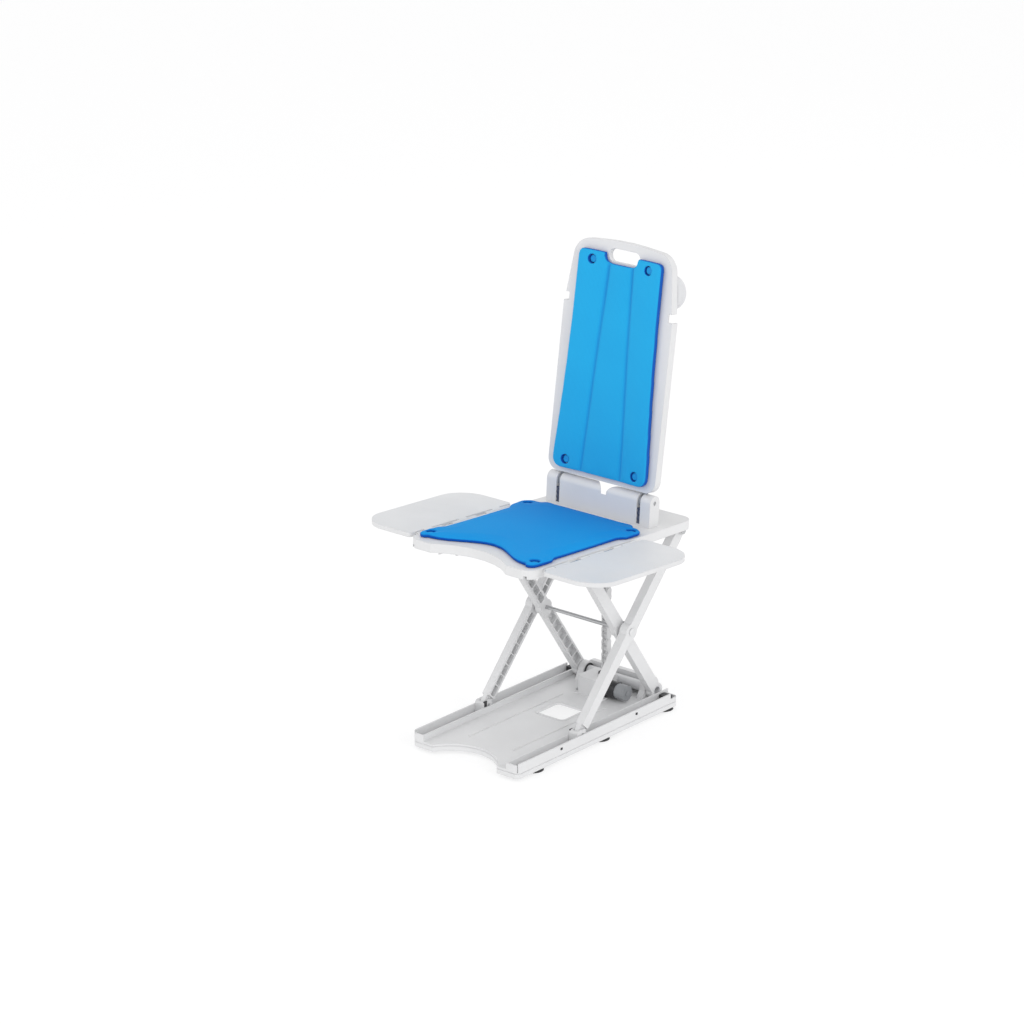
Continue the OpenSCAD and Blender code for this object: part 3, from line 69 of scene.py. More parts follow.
def fromRow(points, place):
    # row frame to the seat's or back's own frame: across, along its depth, up its height
    origin, angle = place
    y = points[:, 1] - origin[1]
    z = points[:, 2] - origin[2]
    depth = y * math.cos(angle) - z * math.sin(angle)
    height = y * math.sin(angle) + z * math.cos(angle)
    return np.column_stack([points[:, 0], depth, height])


def toRow(points, place):
    # the way back: own frame to row frame
    origin, angle = place
    y = origin[1] + points[:, 1] * math.cos(angle) + points[:, 2] * math.sin(angle)
    z = origin[2] - points[:, 1] * math.sin(angle) + points[:, 2] * math.cos(angle)
    return np.column_stack([points[:, 0], y, z])


def ramp(values, start, span):
    # nought up to the start, then rising to one over the span
    return np.clip((values - start) / span, 0.0, 1.0)


def pointValues(mesh, key):
    # "co" or "normal" of every point, one row each
    flat = np.empty(len(mesh.vertices) * 3)
    mesh.vertices.foreach_get(key, flat)
    return flat.reshape(-1, 3)


def setPoints(mesh, points):
    mesh.vertices.foreach_set("co", np.ascontiguousarray(points, dtype=float).ravel())
    mesh.update()


def setSmooth(mesh, smooth):
    mesh.polygons.foreach_set("use_smooth", [smooth] * len(mesh.polygons))


def addObject(name, data):
    item = bpy.data.objects.new(name, data)
    bpy.context.scene.collection.objects.link(item)
    return item


def newPiece(name, points, blocks, smooth):
    # each block is an array of faces with the same number of corners, one row to a face
    mesh = bpy.data.meshes.new(name)
    mesh.from_pydata(points.tolist(), [], sum((block.tolist() for block in blocks), []))
    mesh.validate()
    setSmooth(mesh, smooth)
    return addObject(name, mesh)


def evaluatedMesh(piece):
    # a mesh of its own with the piece's modifiers worked in
    return bpy.data.meshes.new_from_object(piece.evaluated_get(bpy.context.evaluated_depsgraph_get()))


def weld(mesh, reach, outward=False):
    # points within reach become one, and where asked every face is turned to look out
    work = bmesh.new()
    work.from_mesh(mesh)
    bmesh.ops.remove_doubles(work, verts=work.verts, dist=reach)
    if outward:
        bmesh.ops.recalc_face_normals(work, faces=work.faces)
    work.to_mesh(mesh)
    work.free()


# Camera, worked out from the lines of the base, arms and back in the picture
cameraLook = {
    "turn": 39.8,                    # degrees round from the front
    "drop": 19.39,                   # degrees down
    "distance": 8.666,
    "lens": 136.85, "sensor": 36.0,  # mm
    "target": (0.0, -0.022355, 0.511),
    "offCentre": (-34.1, 3.8),       # pixels from the target to the middle of the frame, right and up
    "frameSize": 1024,
    "farthest": 100.0,
}


def placeCamera(look):
    turn, drop = math.radians(look["turn"]), math.radians(look["drop"])
    right = np.array([math.cos(turn), math.sin(turn), 0.0])
    ahead = np.array([-math.sin(turn) * math.cos(drop), math.cos(turn) * math.cos(drop), -math.sin(drop)])
    up = np.cross(right, ahead)
    eye = np.array(look["target"]) - look["distance"] * ahead
    focal = look["lens"] / look["sensor"] * look["frameSize"]
    aim = ahead + right * look["offCentre"][0] / focal + up * look["offCentre"][1] / focal
    aim /= np.linalg.norm(aim)
    side = np.cross(aim, up)
    side /= np.linalg.norm(side)
    top = np.cross(side, aim)
    data = bpy.data.cameras.new("studioCamera")
    data.lens = look["lens"]
    data.sensor_width = look["sensor"]
    data.clip_end = look["farthest"]
    data.dof.use_dof = False
    camera = addObject("studioCamera", data)
    stance = np.eye(4)
    stance[:3] = np.column_stack([side, top, -aim, eye])
    camera.matrix_world = Matrix(stance.tolist())
    bpy.context.scene.camera = camera


placeCamera(cameraLook)
print("camera placed")


def rgba(tone):
    return tuple(tone) + (1.0,)


def setSockets(node, values):
    for key, value in values.items():
        node.inputs[key].default_value = value


def addNode(tree, kind, values=None, feeds=None, **settings):
    # one shader node with its settings, socket values and the sockets that feed it
    node = tree.nodes.new(kind)
    for key, value in settings.items():
        setattr(node, key, value)
    setSockets(node, values or {})
    for key, source in (feeds or {}).items():
        tree.links.new(source, node.inputs[key])
    return node


def newFinish(name):
    finish = bpy.data.materials.new(name)
    finish.use_nodes = True
    return finish, finish.node_tree, finish.node_tree.nodes["Principled BSDF"]


def objectCoords(tree):
    return addNode(tree, "ShaderNodeTexCoord").outputs["Object"]


def noise(tree, coords, scale, detail, **values):
    sockets = {"Scale": scale, "Detail": detail, **values}
    return addNode(tree, "ShaderNodeTexNoise", sockets, {"Vector": coords}).outputs["Fac"]


def ranged(tree, value, span, limits=(0.0, 1.0)):
    # a value carried from its span to new limits and held within them
    sockets = {"From Min": span[0], "From Max": span[1], "To Min": limits[0], "To Max": limits[1]}
    return addNode(tree, "ShaderNodeMapRange", sockets, {"Value": value}).outputs["Result"]


def mixed(tree, share, first, second):
    # the second tone over the first by a share; the first may be another node's socket
    mix = addNode(tree, "ShaderNodeMix", {7: rgba(second)}, {0: share}, data_type="RGBA")
    if isinstance(first, tuple):
        setSockets(mix, {6: rgba(first)})
    else:
        tree.links.new(first, mix.inputs[6])
    return mix.outputs[2]


def bumped(tree, height, strength, distance, **normal):
    sockets = {"Strength": strength, "Distance": distance}
    return addNode(tree, "ShaderNodeBump", sockets, {"Height": height, **normal}).outputs["Normal"]


# Floor and lamps
studio = {
    "floorSize": 30.0, "floorCount": 61,
    "level": 9.0, "sweep": 6.0, "rise": 4.5,   # level this far out, then up by the rise over the sweep
    "floorTone": (0.38, 0.38, 0.382), "floorRough": 0.9, "floorGloss": 0.1,
    "floorGlow": 0.64,
    "light": (1.0, 1.0, 1.0), "sky": 0.83,
    "lamps": [
        # name, place, aim, size, watts
        ("keyLamp", (-2.6, -3.4, 4.2), (0.0, 0.0, 0.5), 2.6, 32.0),
        ("sideLamp", (4.4, -1.0, 2.6), (0.0, 0.0, 0.5), 2.4, 42.0),
        ("backLamp", (0.6, 4.2, 3.4), (0.0, 0.0, 0.6), 2.6, 22.0),
        ("frontLamp", (2.2, -4.6, 2.2), (0.0, 0.0, 0.5), 2.6, 20.0),
    ],
}


def buildStudio(look):
    # the floor is a level grid that curves up all round as a parabola of the distance from the middle
    half, count = look["floorSize"] / 2, look["floorCount"]
    step = np.linspace(-half, half, count)
    gridX, gridY = np.meshgrid(step, step)
    beyond = np.maximum(np.hypot(gridX, gridY) - look["level"], 0.0) / look["sweep"]
    points = np.column_stack([gridX.ravel(), gridY.ravel(), (look["rise"] * beyond ** 2).ravel()])
    corner = (np.arange(count - 1)[:, None] * count + np.arange(count - 1)).ravel()
    squares = np.column_stack([corner, corner + 1, corner + count + 1, corner + count])
    floor = newPiece("studioFloor", points, [squares], smooth=True)
    paper, _, shader = newFinish("floorPaper")
    setSockets(shader, {
        "Base Color": rgba(look["floorTone"]), "Roughness": look["floorRough"],
        "Specular IOR Level": look["floorGloss"],
        "Emission Color": rgba(look["light"]), "Emission Strength": look["floorGlow"],
    })
    floor.data.materials.append(paper)
    world = bpy.data.worlds.new("studioSky")
    world.use_nodes = True
    setSockets(world.node_tree.nodes["Background"], {"Color": rgba(look["light"]), "Strength": look["sky"]})
    bpy.context.scene.world = world
    for name, place, aim, size, watts in look["lamps"]:
        data = bpy.data.lights.new(name, "AREA")
        data.shape = "DISK"
        data.size = size
        data.energy = watts
        lamp = addObject(name, data)
        lamp.location = place
        away = np.array(place) - np.array(aim)
        lean = math.acos(away[2] / np.linalg.norm(away))
        lamp.rotation_euler = (lean, 0.0, math.atan2(away[1], away[0]) + math.pi / 2)
    bpy.context.scene.view_settings.view_transform = "Standard"


buildStudio(studio)
print("studio lit")


# Moulded, painted and rubber finishes: two close tones in soft clouds, a fine grain in the bump,
# a roughness that wanders, and edges that are eased and a little rubbed.
# What all of them share comes first, and a finish may say otherwise.
mouldLook = {
    "cloudDetail": 4.0, "cloudRough": 0.55, "cloudSpan": (0.32, 0.68),
    "smear": 3.1, "smearDetail": 3.0, "smearSpan": (0.3, 0.7),   # roughness in patches finer than the clouds
    "grainDetail": 2.0, "grainDeep": 0.4,                        # depth of the grain by its size
    "edgeSamples": 4, "rubSpan": (0.995, 0.90),                  # agreement of the eased and plain normals
    "metal": 0.0, "gloss": 0.5,
}
finishLooks = {
    "whitePlastic": {
        "tone": (0.72, 0.722, 0.728), "shade": (0.68, 0.682, 0.69), "rubTone": (0.78, 0.78, 0.79), "rub": 0.6,
        "rough": (0.36, 0.5), "cloud": 0.16, "grain": 0.0011, "relief": 0.12, "edge": 0.0012, "gloss": 0.4},
    "bluePlug": {
        "tone": (0.01, 0.32, 0.71), "shade": (0.008, 0.29, 0.68), "rubTone": (0.02, 0.42, 0.79), "rub": 0.5,
        "rough": (0.45, 0.58), "cloud": 0.02, "grain": 0.0008, "relief": 0.1, "edge": 0.0008, "gloss": 0.2},
    "darkPlastic": {
        "tone": (0.03, 0.03, 0.033), "shade": (0.022, 0.022, 0.025), "rubTone": (0.09, 0.09, 0.095),
        "rub": 0.6, "rough": (0.42, 0.6), "cloud": 0.05, "grain": 0.0009, "relief": 0.18, "edge": 0.0008},
    "slateClip": {
        "tone": (0.055, 0.07, 0.12), "shade": (0.04, 0.052, 0.095), "rubTone": (0.14, 0.16, 0.22), "rub": 0.5,
        "rough": (0.4, 0.55), "cloud": 0.02, "grain": 0.0008, "relief": 0.15, "edge": 0.0006},
    "cupRubber": {
        "tone": (0.085, 0.085, 0.088), "shade": (0.06, 0.06, 0.063), "rubTone": (0.17, 0.17, 0.17),
        "rub": 0.5, "rough": (0.6, 0.78), "cloud": 0.03, "grain": 0.0013, "relief": 0.25, "edge": 0.001,
        "gloss": 0.3},
    "motorPaint": {
        "tone": (0.022, 0.022, 0.025), "shade": (0.015, 0.015, 0.018), "rubTone": (0.12, 0.12, 0.13),
        "rub": 0.7, "rough": (0.28, 0.42), "cloud": 0.03, "grain": 0.0016, "relief": 0.12, "edge": 0.001},
    "greyPlastic": {
        "tone": (0.30, 0.31, 0.325), "shade": (0.26, 0.27, 0.285), "rubTone": (0.42, 0.43, 0.44), "rub": 0.5,
        "rough": (0.4, 0.55), "cloud": 0.05, "grain": 0.0009, "relief": 0.15, "edge": 0.0008},
    "brushedSteel": {
        "tone": (0.56, 0.565, 0.575), "shade": (0.46, 0.465, 0.475), "rubTone": (0.72, 0.72, 0.73),
        "rub": 0.6, "rough": (0.22, 0.38), "cloud": 0.02, "grain": 0.0007, "relief": 0.14, "edge": 0.0005,
        "metal": 1.0, "stretch": (0.06, 1.0, 1.0)},
    "tubePaint": {
        "tone": (0.68, 0.685, 0.70), "shade": (0.63, 0.635, 0.65), "rubTone": (0.50, 0.505, 0.51), "rub": 0.4,
        "rough": (0.26, 0.4), "cloud": 0.09, "grain": 0.0024, "relief": 0.1, "edge": 0.0008},
    "chainPlastic": {
        "tone": (0.67, 0.673, 0.68), "shade": (0.60, 0.603, 0.61), "rubTone": (0.72, 0.72, 0.72), "rub": 0.6,
        "rough": (0.34, 0.5), "cloud": 0.02, "grain": 0.0007, "relief": 0.12, "edge": 0.0006},
    "handsetPlastic": {
        "tone": (0.68, 0.685, 0.70), "shade": (0.645, 0.65, 0.67), "rubTone": (0.77, 0.77, 0.78), "rub": 0.5,
        "rough": (0.3, 0.44), "cloud": 0.07, "grain": 0.0008, "relief": 0.12, "edge": 0.0015},
    "buttonBlue": {
        "tone": (0.015, 0.14, 0.52), "shade": (0.01, 0.11, 0.46), "rubTone": (0.05, 0.25, 0.66), "rub": 0.5,
        "rough": (0.42, 0.55), "cloud": 0.012, "grain": 0.0006, "relief": 0.12, "edge": 0.0012},
    "buttonRed": {
        "tone": (0.52, 0.02, 0.018), "shade": (0.44, 0.014, 0.014), "rubTone": (0.66, 0.06, 0.05), "rub": 0.5,
        "rough": (0.4, 0.54), "cloud": 0.012, "grain": 0.0006, "relief": 0.12, "edge": 0.0012},
}


def mouldedFinish(name, look):
    finish, tree, shader = newFinish(name)
    coords = objectCoords(tree)
    if "stretch" in look:
        stretch = addNode(tree, "ShaderNodeMapping", {"Scale": look["stretch"]}, {"Vector": coords})
        coords = stretch.outputs["Vector"]
    cloud = noise(tree, coords, 1.0 / look["cloud"], look["cloudDetail"], Roughness=look["cloudRough"])
    tones = mixed(tree, ranged(tree, cloud, look["cloudSpan"]), look["tone"], look["shade"])
    bevel = addNode(tree, "ShaderNodeBevel", {"Radius": look["edge"]}, samples=look["edgeSamples"])
    eased = bevel.outputs["Normal"]
    plain = addNode(tree, "ShaderNodeNewGeometry").outputs["Normal"]
    along = addNode(tree, "ShaderNodeVectorMath", None, {0: eased, 1: plain}, operation="DOT_PRODUCT")
    rubbed = ranged(tree, along.outputs["Value"], look["rubSpan"], (0.0, look["rub"]))
    tree.links.new(mixed(tree, rubbed, tones, look["rubTone"]), shader.inputs["Base Color"])
    smear = noise(tree, coords, look["smear"] / look["cloud"], look["smearDetail"])
    tree.links.new(ranged(tree, smear, look["smearSpan"], look["rough"]), shader.inputs["Roughness"])
    grain = noise(tree, coords, 1.0 / look["grain"], look["grainDetail"])
    relief = bumped(tree, grain, look["relief"], look["grain"] * look["grainDeep"], Normal=eased)
    tree.links.new(relief, shader.inputs["Normal"])
    setSockets(shader, {"Metallic": look["metal"], "Specular IOR Level": look["gloss"]})
    return finish


finishes = {name: mouldedFinish(name, {**mouldLook, **look}) for name, look in finishLooks.items()}

slotFinish = {
    "white_plastic": "whitePlastic", "blue_pad": "bluePlug", "blue_plastic": "bluePlug",
    "dark_plastic": "darkPlastic", "cup_rubber": "cupRubber", "motor_paint": "motorPaint",
    "grey_plastic": "greyPlastic", "steel": "brushedSteel", "tube_paint": "tubePaint",
    "chain_plastic": "chainPlastic", "handset_plastic": "handsetPlastic",
    "button_blue": "buttonBlue", "button_red": "buttonRed",
}


def finishCadNodes():
    for part in frame["record"]["subparts"]:
        piece = cadNodes[part["node"]]
        piece.data.materials.clear()
        piece.data.materials.append(finishes[slotFinish[part["material_slot"]]])


finishCadNodes()
print("solids finished")


# Foam covers: what the two pads share
foamLook = {
    "voxel": 0.003, "weld": 2e-5, "easeShare": 0.5, "easeTimes": 5, "rounding": 1,
    "pressure": 4.0, "stiffness": 12.0, "bending": 0.5, "mass": 0.2, "quality": 5, "frames": 20,
    "cap": 0.003,                                # no point swells further than this
    "fill": 0.85,
    "holeRound": 0.011, "holeHold": 0.0135,      # a plug hole and the ring round it that stays put
    "holeReach": 0.55, "holePower": 4,           # how near a hole's rim, in voxels, a point is drawn to it
    "sideFrom": 0.72, "sideSpan": -0.4,          # a normal counts as side wall below this, fully so by the span
    # ribs: their pitch, the painted shade in the rib hollows, and the strength and depth of their relief
    "ribPitch": 0.0034, "ribPaintedShade": 0.18, "ribRelief": 0.22, "ribDeep": 0.1,
    "ribScale": 0.314, "ribSway": 0.25, "ribDetail": 1.0, "ribDetailScale": 1.5, "hollowSpan": (0.0, 0.5),
    "grain": 0.0012, "grainDetail": 3.0, "grainDeep": 0.3, "relief": 0.2,
    "cloud": 0.11, "cloudDetail": 3.0, "cloudSpan": (0.3, 0.7),
    "rough": (0.62, 0.76), "roughSpan": (0.3, 0.7), "sheenRough": 0.6,
}


# Ribs run up the pad a few millimetres apart, crossed by a fine skin grain; the rib backs keep the plain tone
# and the rib hollows take painted shade, and the side tone goes on the side walls and wherever shade is
# painted on the pad.
def foamFinish(name, look, angle):
    finish, tree, shader = newFinish(name)
    turn = {"Rotation": (angle, 0.0, 0.0)}
    flat = addNode(tree, "ShaderNodeMapping", turn, {"Vector": objectCoords(tree)}).outputs["Vector"]
    sockets = {"Scale": look["ribScale"] / look["ribPitch"], "Distortion": look["ribSway"],
               "Detail": look["ribDetail"], "Detail Scale": look["ribDetailScale"]}
    ribs = addNode(tree, "ShaderNodeTexWave", sockets, {"Vector": flat},
                   wave_type="BANDS", bands_direction="X", wave_profile="SIN").outputs["Fac"]
    skin = noise(tree, flat, 1.0 / look["grain"], look["grainDetail"])
    cloud = noise(tree, flat, 1.0 / look["cloud"], look["cloudDetail"])
    tones = mixed(tree, ranged(tree, cloud, look["cloudSpan"]), look["tone"], look["shade"])
    # painted shade in the rib hollows
    hollowShade = ranged(tree, ribs, look["hollowSpan"], (look["ribPaintedShade"], 0.0))
    ribbed = mixed(tree, hollowShade, tones, look["hollowShadeTone"])
    # the side tone on the side walls, and as painted shade in the creases, at the foot and towards the rear
    sideWallsAndPaintedShade = addNode(tree, "ShaderNodeAttribute", attribute_name="sideWallsAndPaintedShade").outputs["Fac"]
    tree.links.new(mixed(tree, sideWallsAndPaintedShade, ribbed, look["side"]), shader.inputs["Base Color"])
    tree.links.new(ranged(tree, skin, look["roughSpan"], look["rough"]), shader.inputs["Roughness"])
    ribRelief = bumped(tree, ribs, look["ribRelief"], look["ribPitch"] * look["ribDeep"])
    relief = bumped(tree, skin, look["relief"], look["grain"] * look["grainDeep"], Normal=ribRelief)
    tree.links.new(relief, shader.inputs["Normal"])
    setSockets(shader, {"Specular IOR Level": look["gloss"], "Sheen Weight": look["sheen"],
                        "Sheen Roughness": look["sheenRough"]})
    return finish


def remeshed(node, name, place, look):
    # a copy of the solid in the pad's own frame, welded, rebuilt as an even grid of small faces and eased
    mesh = cadNodes[node].data.copy()
    setPoints(mesh, fromRow(pointValues(mesh, "co"), place))
    weld(mesh, look["weld"])
    piece = addObject(name, mesh)
    grid = piece.modifiers.new("grid", "REMESH")
    grid.mode = "VOXEL"
    grid.voxel_size = look["voxel"]
    ease = piece.modifiers.new("ease", "SMOOTH")
    ease.factor = look["easeShare"]
    ease.iterations = look["easeTimes"]
    bpy.context.view_layer.update()
    even = evaluatedMesh(piece)
    piece.modifiers.clear()
    piece.data = even
    even.name = name
    even.materials.clear()
    return piece


def swell(piece, held, look):
    # air inside the cover pushes the free part of the face out while the held points stay put
    rest = pointValues(piece.data, "co")
    group = piece.vertex_groups.new(name="held")
    group.add(np.flatnonzero(held).tolist(), 1.0, "REPLACE")
    cloth = piece.modifiers.new("swell", "CLOTH")
    cloth.settings.use_pressure = True
    cloth.settings.uniform_pressure_force = look["pressure"]
    cloth.settings.vertex_group_mass = "held"
    cloth.settings.effector_weights.gravity = 0.0
    cloth.settings.quality = look["quality"]
    cloth.settings.mass = look["mass"]
    cloth.settings.tension_stiffness = look["stiffness"]
    cloth.settings.compression_stiffness = look["stiffness"]
    cloth.settings.bending_stiffness = look["bending"]
    cloth.collision_settings.use_collision = False
    cloth.point_cache.frame_start = 1
    cloth.point_cache.frame_end = look["frames"]
    for moment in range(1, look["frames"] + 1):
        bpy.context.scene.frame_set(moment)
    shift = pointValues(evaluatedMesh(piece), "co") - rest
    piece.modifiers.clear()
    piece.vertex_groups.clear()
    bpy.context.scene.frame_set(1)
    length = np.linalg.norm(shift, axis=1, keepdims=True)
    print(piece.name, "swelled by up to", round(float(length.max()) * 1000, 2), "mm before the cap")
    return rest + shift * np.minimum(1.0, look["cap"] / np.maximum(length, 1e-9))


def finishPad(piece, points, node, body, place, look, finish, facing, paintedShade):
    # a point takes the side tone as its normal turns from the way the pad faces, or as the painted shade
    # given asks, whichever is more
    setPoints(piece.data, points)
    turned = pointValues(piece.data, "normal") @ np.array(facing)
    sideWallsAndPaintedShade = np.maximum(ramp(turned, look["sideFrom"], look["sideSpan"]), paintedShade).astype(np.float32)
    piece.data.attributes.new("sideWallsAndPaintedShade", "FLOAT", "POINT").data.foreach_set("value", sideWallsAndPaintedShade)
    setPoints(piece.data, toRow(points, place))
    setSmooth(piece.data, True)
    piece.data.materials.append(finish)
    rounder = piece.modifiers.new("rounder", "SUBSURF")
    rounder.levels = look["rounding"]
    rounder.render_levels = look["rounding"]
    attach(piece, body)
    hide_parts(node)


def plugSpots(node, place, axes):
    # the middles of the four plugs, found as the middle of the node's points in each quarter
    points = fromRow(pointValues(cadNodes[node].data, "co"), place)[:, axes]
    beyond = points > points.mean(axis=0)
    sides = [(right, high) for right in (True, False) for high in (True, False)]
    quarters = [points[(beyond == side).all(axis=1)] for side in sides]
    return np.array([(quarter.min(axis=0) + quarter.max(axis=0)) / 2 for quarter in quarters])


def roundHoles(points, spots, axes, look):
    # points at the rim of a plug hole are drawn onto a true circle; gives each point's distance from its plug
    away = points[:, None, axes] - spots[None]
    far = np.linalg.norm(away, axis=2)
    pick = far.argmin(axis=1)
    row = np.arange(len(points))
    near = far[row, pick]
    off = (near - look["holeRound"]) / (look["holeReach"] * look["voxel"])
    drawn = near + (look["holeRound"] - near) * np.exp(-off ** look["holePower"])
    points[:, axes] = spots[pick] + away[row, pick] * (drawn / near)[:, None]
    return drawn


# Seat pad: a foam cover that is fullest behind its middle and drops to a rounded edge
seatPadLook = {
    **foamLook,
    "crown": 0.0022, "crownBack": 0.04,          # the middle stands this much higher, most so this far behind
    "earRise": 0.0026, "earWide": 0.026,         # so does the cover round each plug hole, as far out as this
    "topFrom": 0.6, "topSpan": 0.3,              # both come in over this part of the thickness
    "freeFrom": 0.62,                            # above this part the cover is free to swell
    "rearPaintedShade": 0.4, "rearFrom": -0.2, "rearSpan": 1.2, "rearPower": 1.5,   # painted shade towards the rear, where the back shades the seat
    "tone": (0.008, 0.315, 0.745), "shade": (0.0075, 0.298, 0.73),
    # the first tone is the painted shade in the rib hollows, the second the side tone for side walls and
    # painted shade
    "hollowShadeTone": (0.005, 0.12, 0.48), "side": (0.004, 0.085, 0.44),
    "gloss": 0.07, "sheen": 0.01,
}


def buildSeatPad(look):
    pad = remeshed("seat_pad", "seatPadCover", seatPlace, look)
    points = pointValues(pad.data, "co")
    lift = (points[:, 2] - points[:, 2].min()) / np.ptp(points[:, 2])
    near = roundHoles(points, plugSpots("seat_plugs", seatPlace, [0, 1]), [0, 1], look)
    # the crown is a cosine dome over the pad's length and width, the rise at an ear a bell round its hole
    across = points[:, 0] / np.abs(points[:, 0]).max()
    half = np.ptp(points[:, 1]) / 2
    along = (points[:, 1] - points[:, 1].min()) / half - 1.0
    behind = np.clip(along - look["crownBack"] / half, -1.0, 1.0)
    dome = np.cos(across * math.pi / 2) * np.cos(behind * math.pi / 2)
    ear = np.exp(-(near / look["earWide"]) ** 2)
    top = ramp(lift, look["topFrom"], look["topSpan"])
    points[:, 2] += top * (look["crown"] * dome + look["earRise"] * ear)
    setPoints(pad.data, points)
    points = swell(pad, (lift < look["freeFrom"]) | (near < look["holeHold"]), look)
    # painted shade towards the rear of the seat, where the back shades it
    rear = look["rearPaintedShade"] * ramp(along, look["rearFrom"], look["rearSpan"]) ** look["rearPower"]
    foam = foamFinish("seatFoam", look, seatPlace[1])
    finishPad(pad, points, "seat_pad", "seat", seatPlace, look, foam, (0.0, 0.0, 1.0), rear)
    print("seat pad:", len(pad.data.vertices), "points")


buildSeatPad(seatPadLook)


# Back pad: three panels between two creases that run together towards the grip
backPadLook = {
    **foamLook,
    "sink": 0.0012, "sinkFrom": 0.7, "sinkSpan": 0.25,               # the face lies this much back
    "freeFrom": 0.85,                                                # normals beyond this are free to swell
    "creaseLow": 0.057, "creaseMid": 0.037, "creaseTop": 0.032,      # distance of a crease from the middle
    "creaseFoot": 0.032, "creaseBend": 0.431, "creaseHead": 0.539,   # heights where those hold
    # a crease's width, depth and the painted shade in it
    "creaseWide": 0.0036, "creaseDeep": 0.0026, "creasePaintedShade": 0.4,
    "frontFrom": 0.5, "frontSpan": 0.4,                              # normals that count as front
    "footPaintedShade": 0.1, "footHigh": 0.5,                               # painted shade over this lower part, near the seat
    "tone": (0.012, 0.392, 0.738), "shade": (0.011, 0.374, 0.722),
    # the first tone is the painted shade in the rib hollows, the second the side tone for side walls and
    # painted shade
    "hollowShadeTone": (0.006, 0.16, 0.53), "side": (0.004, 0.095, 0.46),
    "gloss": 0.16, "sheen": 0.03,
}


def buildBackPad(look):
    pad = remeshed("back_pad", "backPadCover", backPlace, look)
    points = pointValues(pad.data, "co")
    facing = -pointValues(pad.data, "normal")[:, 1]   # one on the front face, minus one on the rear face
    points[:, 1] += look["sink"] * ramp(facing, look["sinkFrom"], look["sinkSpan"])
    near = roundHoles(points, plugSpots("back_plugs", backPlace, [0, 2]), [0, 2], look)
    setPoints(pad.data, points)
    # a crease is a bell across a line that bends once on its way up
    crease = np.interp(points[:, 2], [look["creaseFoot"], look["creaseBend"], look["creaseHead"]],
                       [look["creaseLow"], look["creaseMid"], look["creaseTop"]])
    off = (np.abs(points[:, 0]) - crease) / look["creaseWide"]
    held = (facing < look["freeFrom"]) | (near < look["holeHold"]) | (np.abs(off) < 1.0)
    points = swell(pad, held, look)
    creased = ramp(facing, look["frontFrom"], look["frontSpan"]) * np.exp(-off ** 2)
    points[:, 1] += look["creaseDeep"] * creased
    high = (points[:, 2] - points[:, 2].min()) / np.ptp(points[:, 2])
    # painted shade towards the foot of the pad, near the seat
    foot = look["footPaintedShade"] * np.clip(1.0 - high / look["footHigh"], 0.0, 1.0)
    # painted shade in the creases and at the foot, taken together
    paintedShade = np.maximum(look["creasePaintedShade"] * creased, foot)
    foam = foamFinish("backFoam", look, backPlace[1])
    finishPad(pad, points, "back_pad", "backrest", backPlace, look, foam, (0.0, -1.0, 0.0), paintedShade)
    print("back pad:", len(pad.data.vertices), "points")


buildBackPad(backPadLook)


def circle(count):
    # points of a circle of radius one, evenly round it
    turn = np.linspace(0.0, 2 * math.pi, count + 1)[:-1]
    return np.column_stack([np.cos(turn), np.sin(turn)])


def carried(outline, across, ease):
    # an outline carried from one side to the other, with the two rims eased: four rings and two end caps
    count = len(outline)
    middle = outline.mean(axis=0)
    reach = np.linalg.norm(outline - middle, axis=1, keepdims=True)
    small = middle + (outline - middle) * (1.0 - abs(ease) / reach)
    rings = [(small, across[0]), (outline, across[0] + ease), (outline, across[1] - ease), (small, across[1])]
    points = np.vstack([np.column_stack([np.full(count, x), ring]) for ring, x in rings])
    first = np.arange(count)
    after = (first + 1) % count
    band = np.column_stack([first, first + count, after + count, after])
    last = len(rings) - 1
    bands = np.vstack([band + k * count for k in range(last)])
    return points, [bands, np.vstack([first, first[::-1] + last * count])]


def repeated(points, blocks, shifts):
    # one shape set down at each shift
    cloud = (points[None] + shifts[:, None]).reshape(-1, 3)
    starts = len(points) * np.arange(len(shifts))[:, None, None]
    return cloud, [(block + starts).reshape(-1, block.shape[1]) for block in blocks]


def joined(parts):
    # several shapes as one set of points and blocks of faces
    clouds = [points for points, _ in parts]
    starts = np.cumsum([0] + [len(points) for points in clouds])
    return np.vstack(clouds), [block + start for (_, blocks), start in zip(parts, starts) for block in blocks]


def hardPiece(name, points, blocks, finish):
    # a piece with flat faces that all look out
    piece = newPiece(name, points, blocks, smooth=False)
    weld(piece.data, 1e-6, outward=True)
    piece.data.materials.append(finishes[finish])
    return piece


# Thrust chain: pins one pitch apart, each pair joined by two cheeks with round ends,
# wide cheeks and narrow cheeks by turns
chainLook = {
    "pitch": 0.016, "endRound": 0.0083, "endShare": 0.52,   # an end is at most this part of the pitch
    "waist": 0.0074, "wide": (0.0066, 0.0084), "narrow": (0.0046, 0.0064),
    "roller": 0.0052, "pinHead": 0.0032, "pinProud": 0.0001, "ease": 0.0004,
    "endCount": 12, "sideCount": 7, "roundCount": 16,
    "keep": 0.036, "fixedHeight": 0.06,
}


def cheekOutline(pitch, look):
    # two half circles round the pins and a side between them that narrows to the waist as a cosine
    endRound = min(look["endRound"], pitch * look["endShare"])
    turn = np.linspace(0.0, math.pi, look["endCount"])
    along = np.linspace(0.0, 1.0, look["sideCount"])[1:-1]
    pinch = endRound - (endRound - look["waist"]) * (1.0 - np.cos(2 * math.pi * along)) / 2
    upper = np.column_stack([endRound * np.cos(turn), pitch / 2 + endRound * np.sin(turn)])
    left = np.column_stack([-pinch, pitch / 2 - pitch * along])
    return np.vstack([upper, left, -upper, -left])


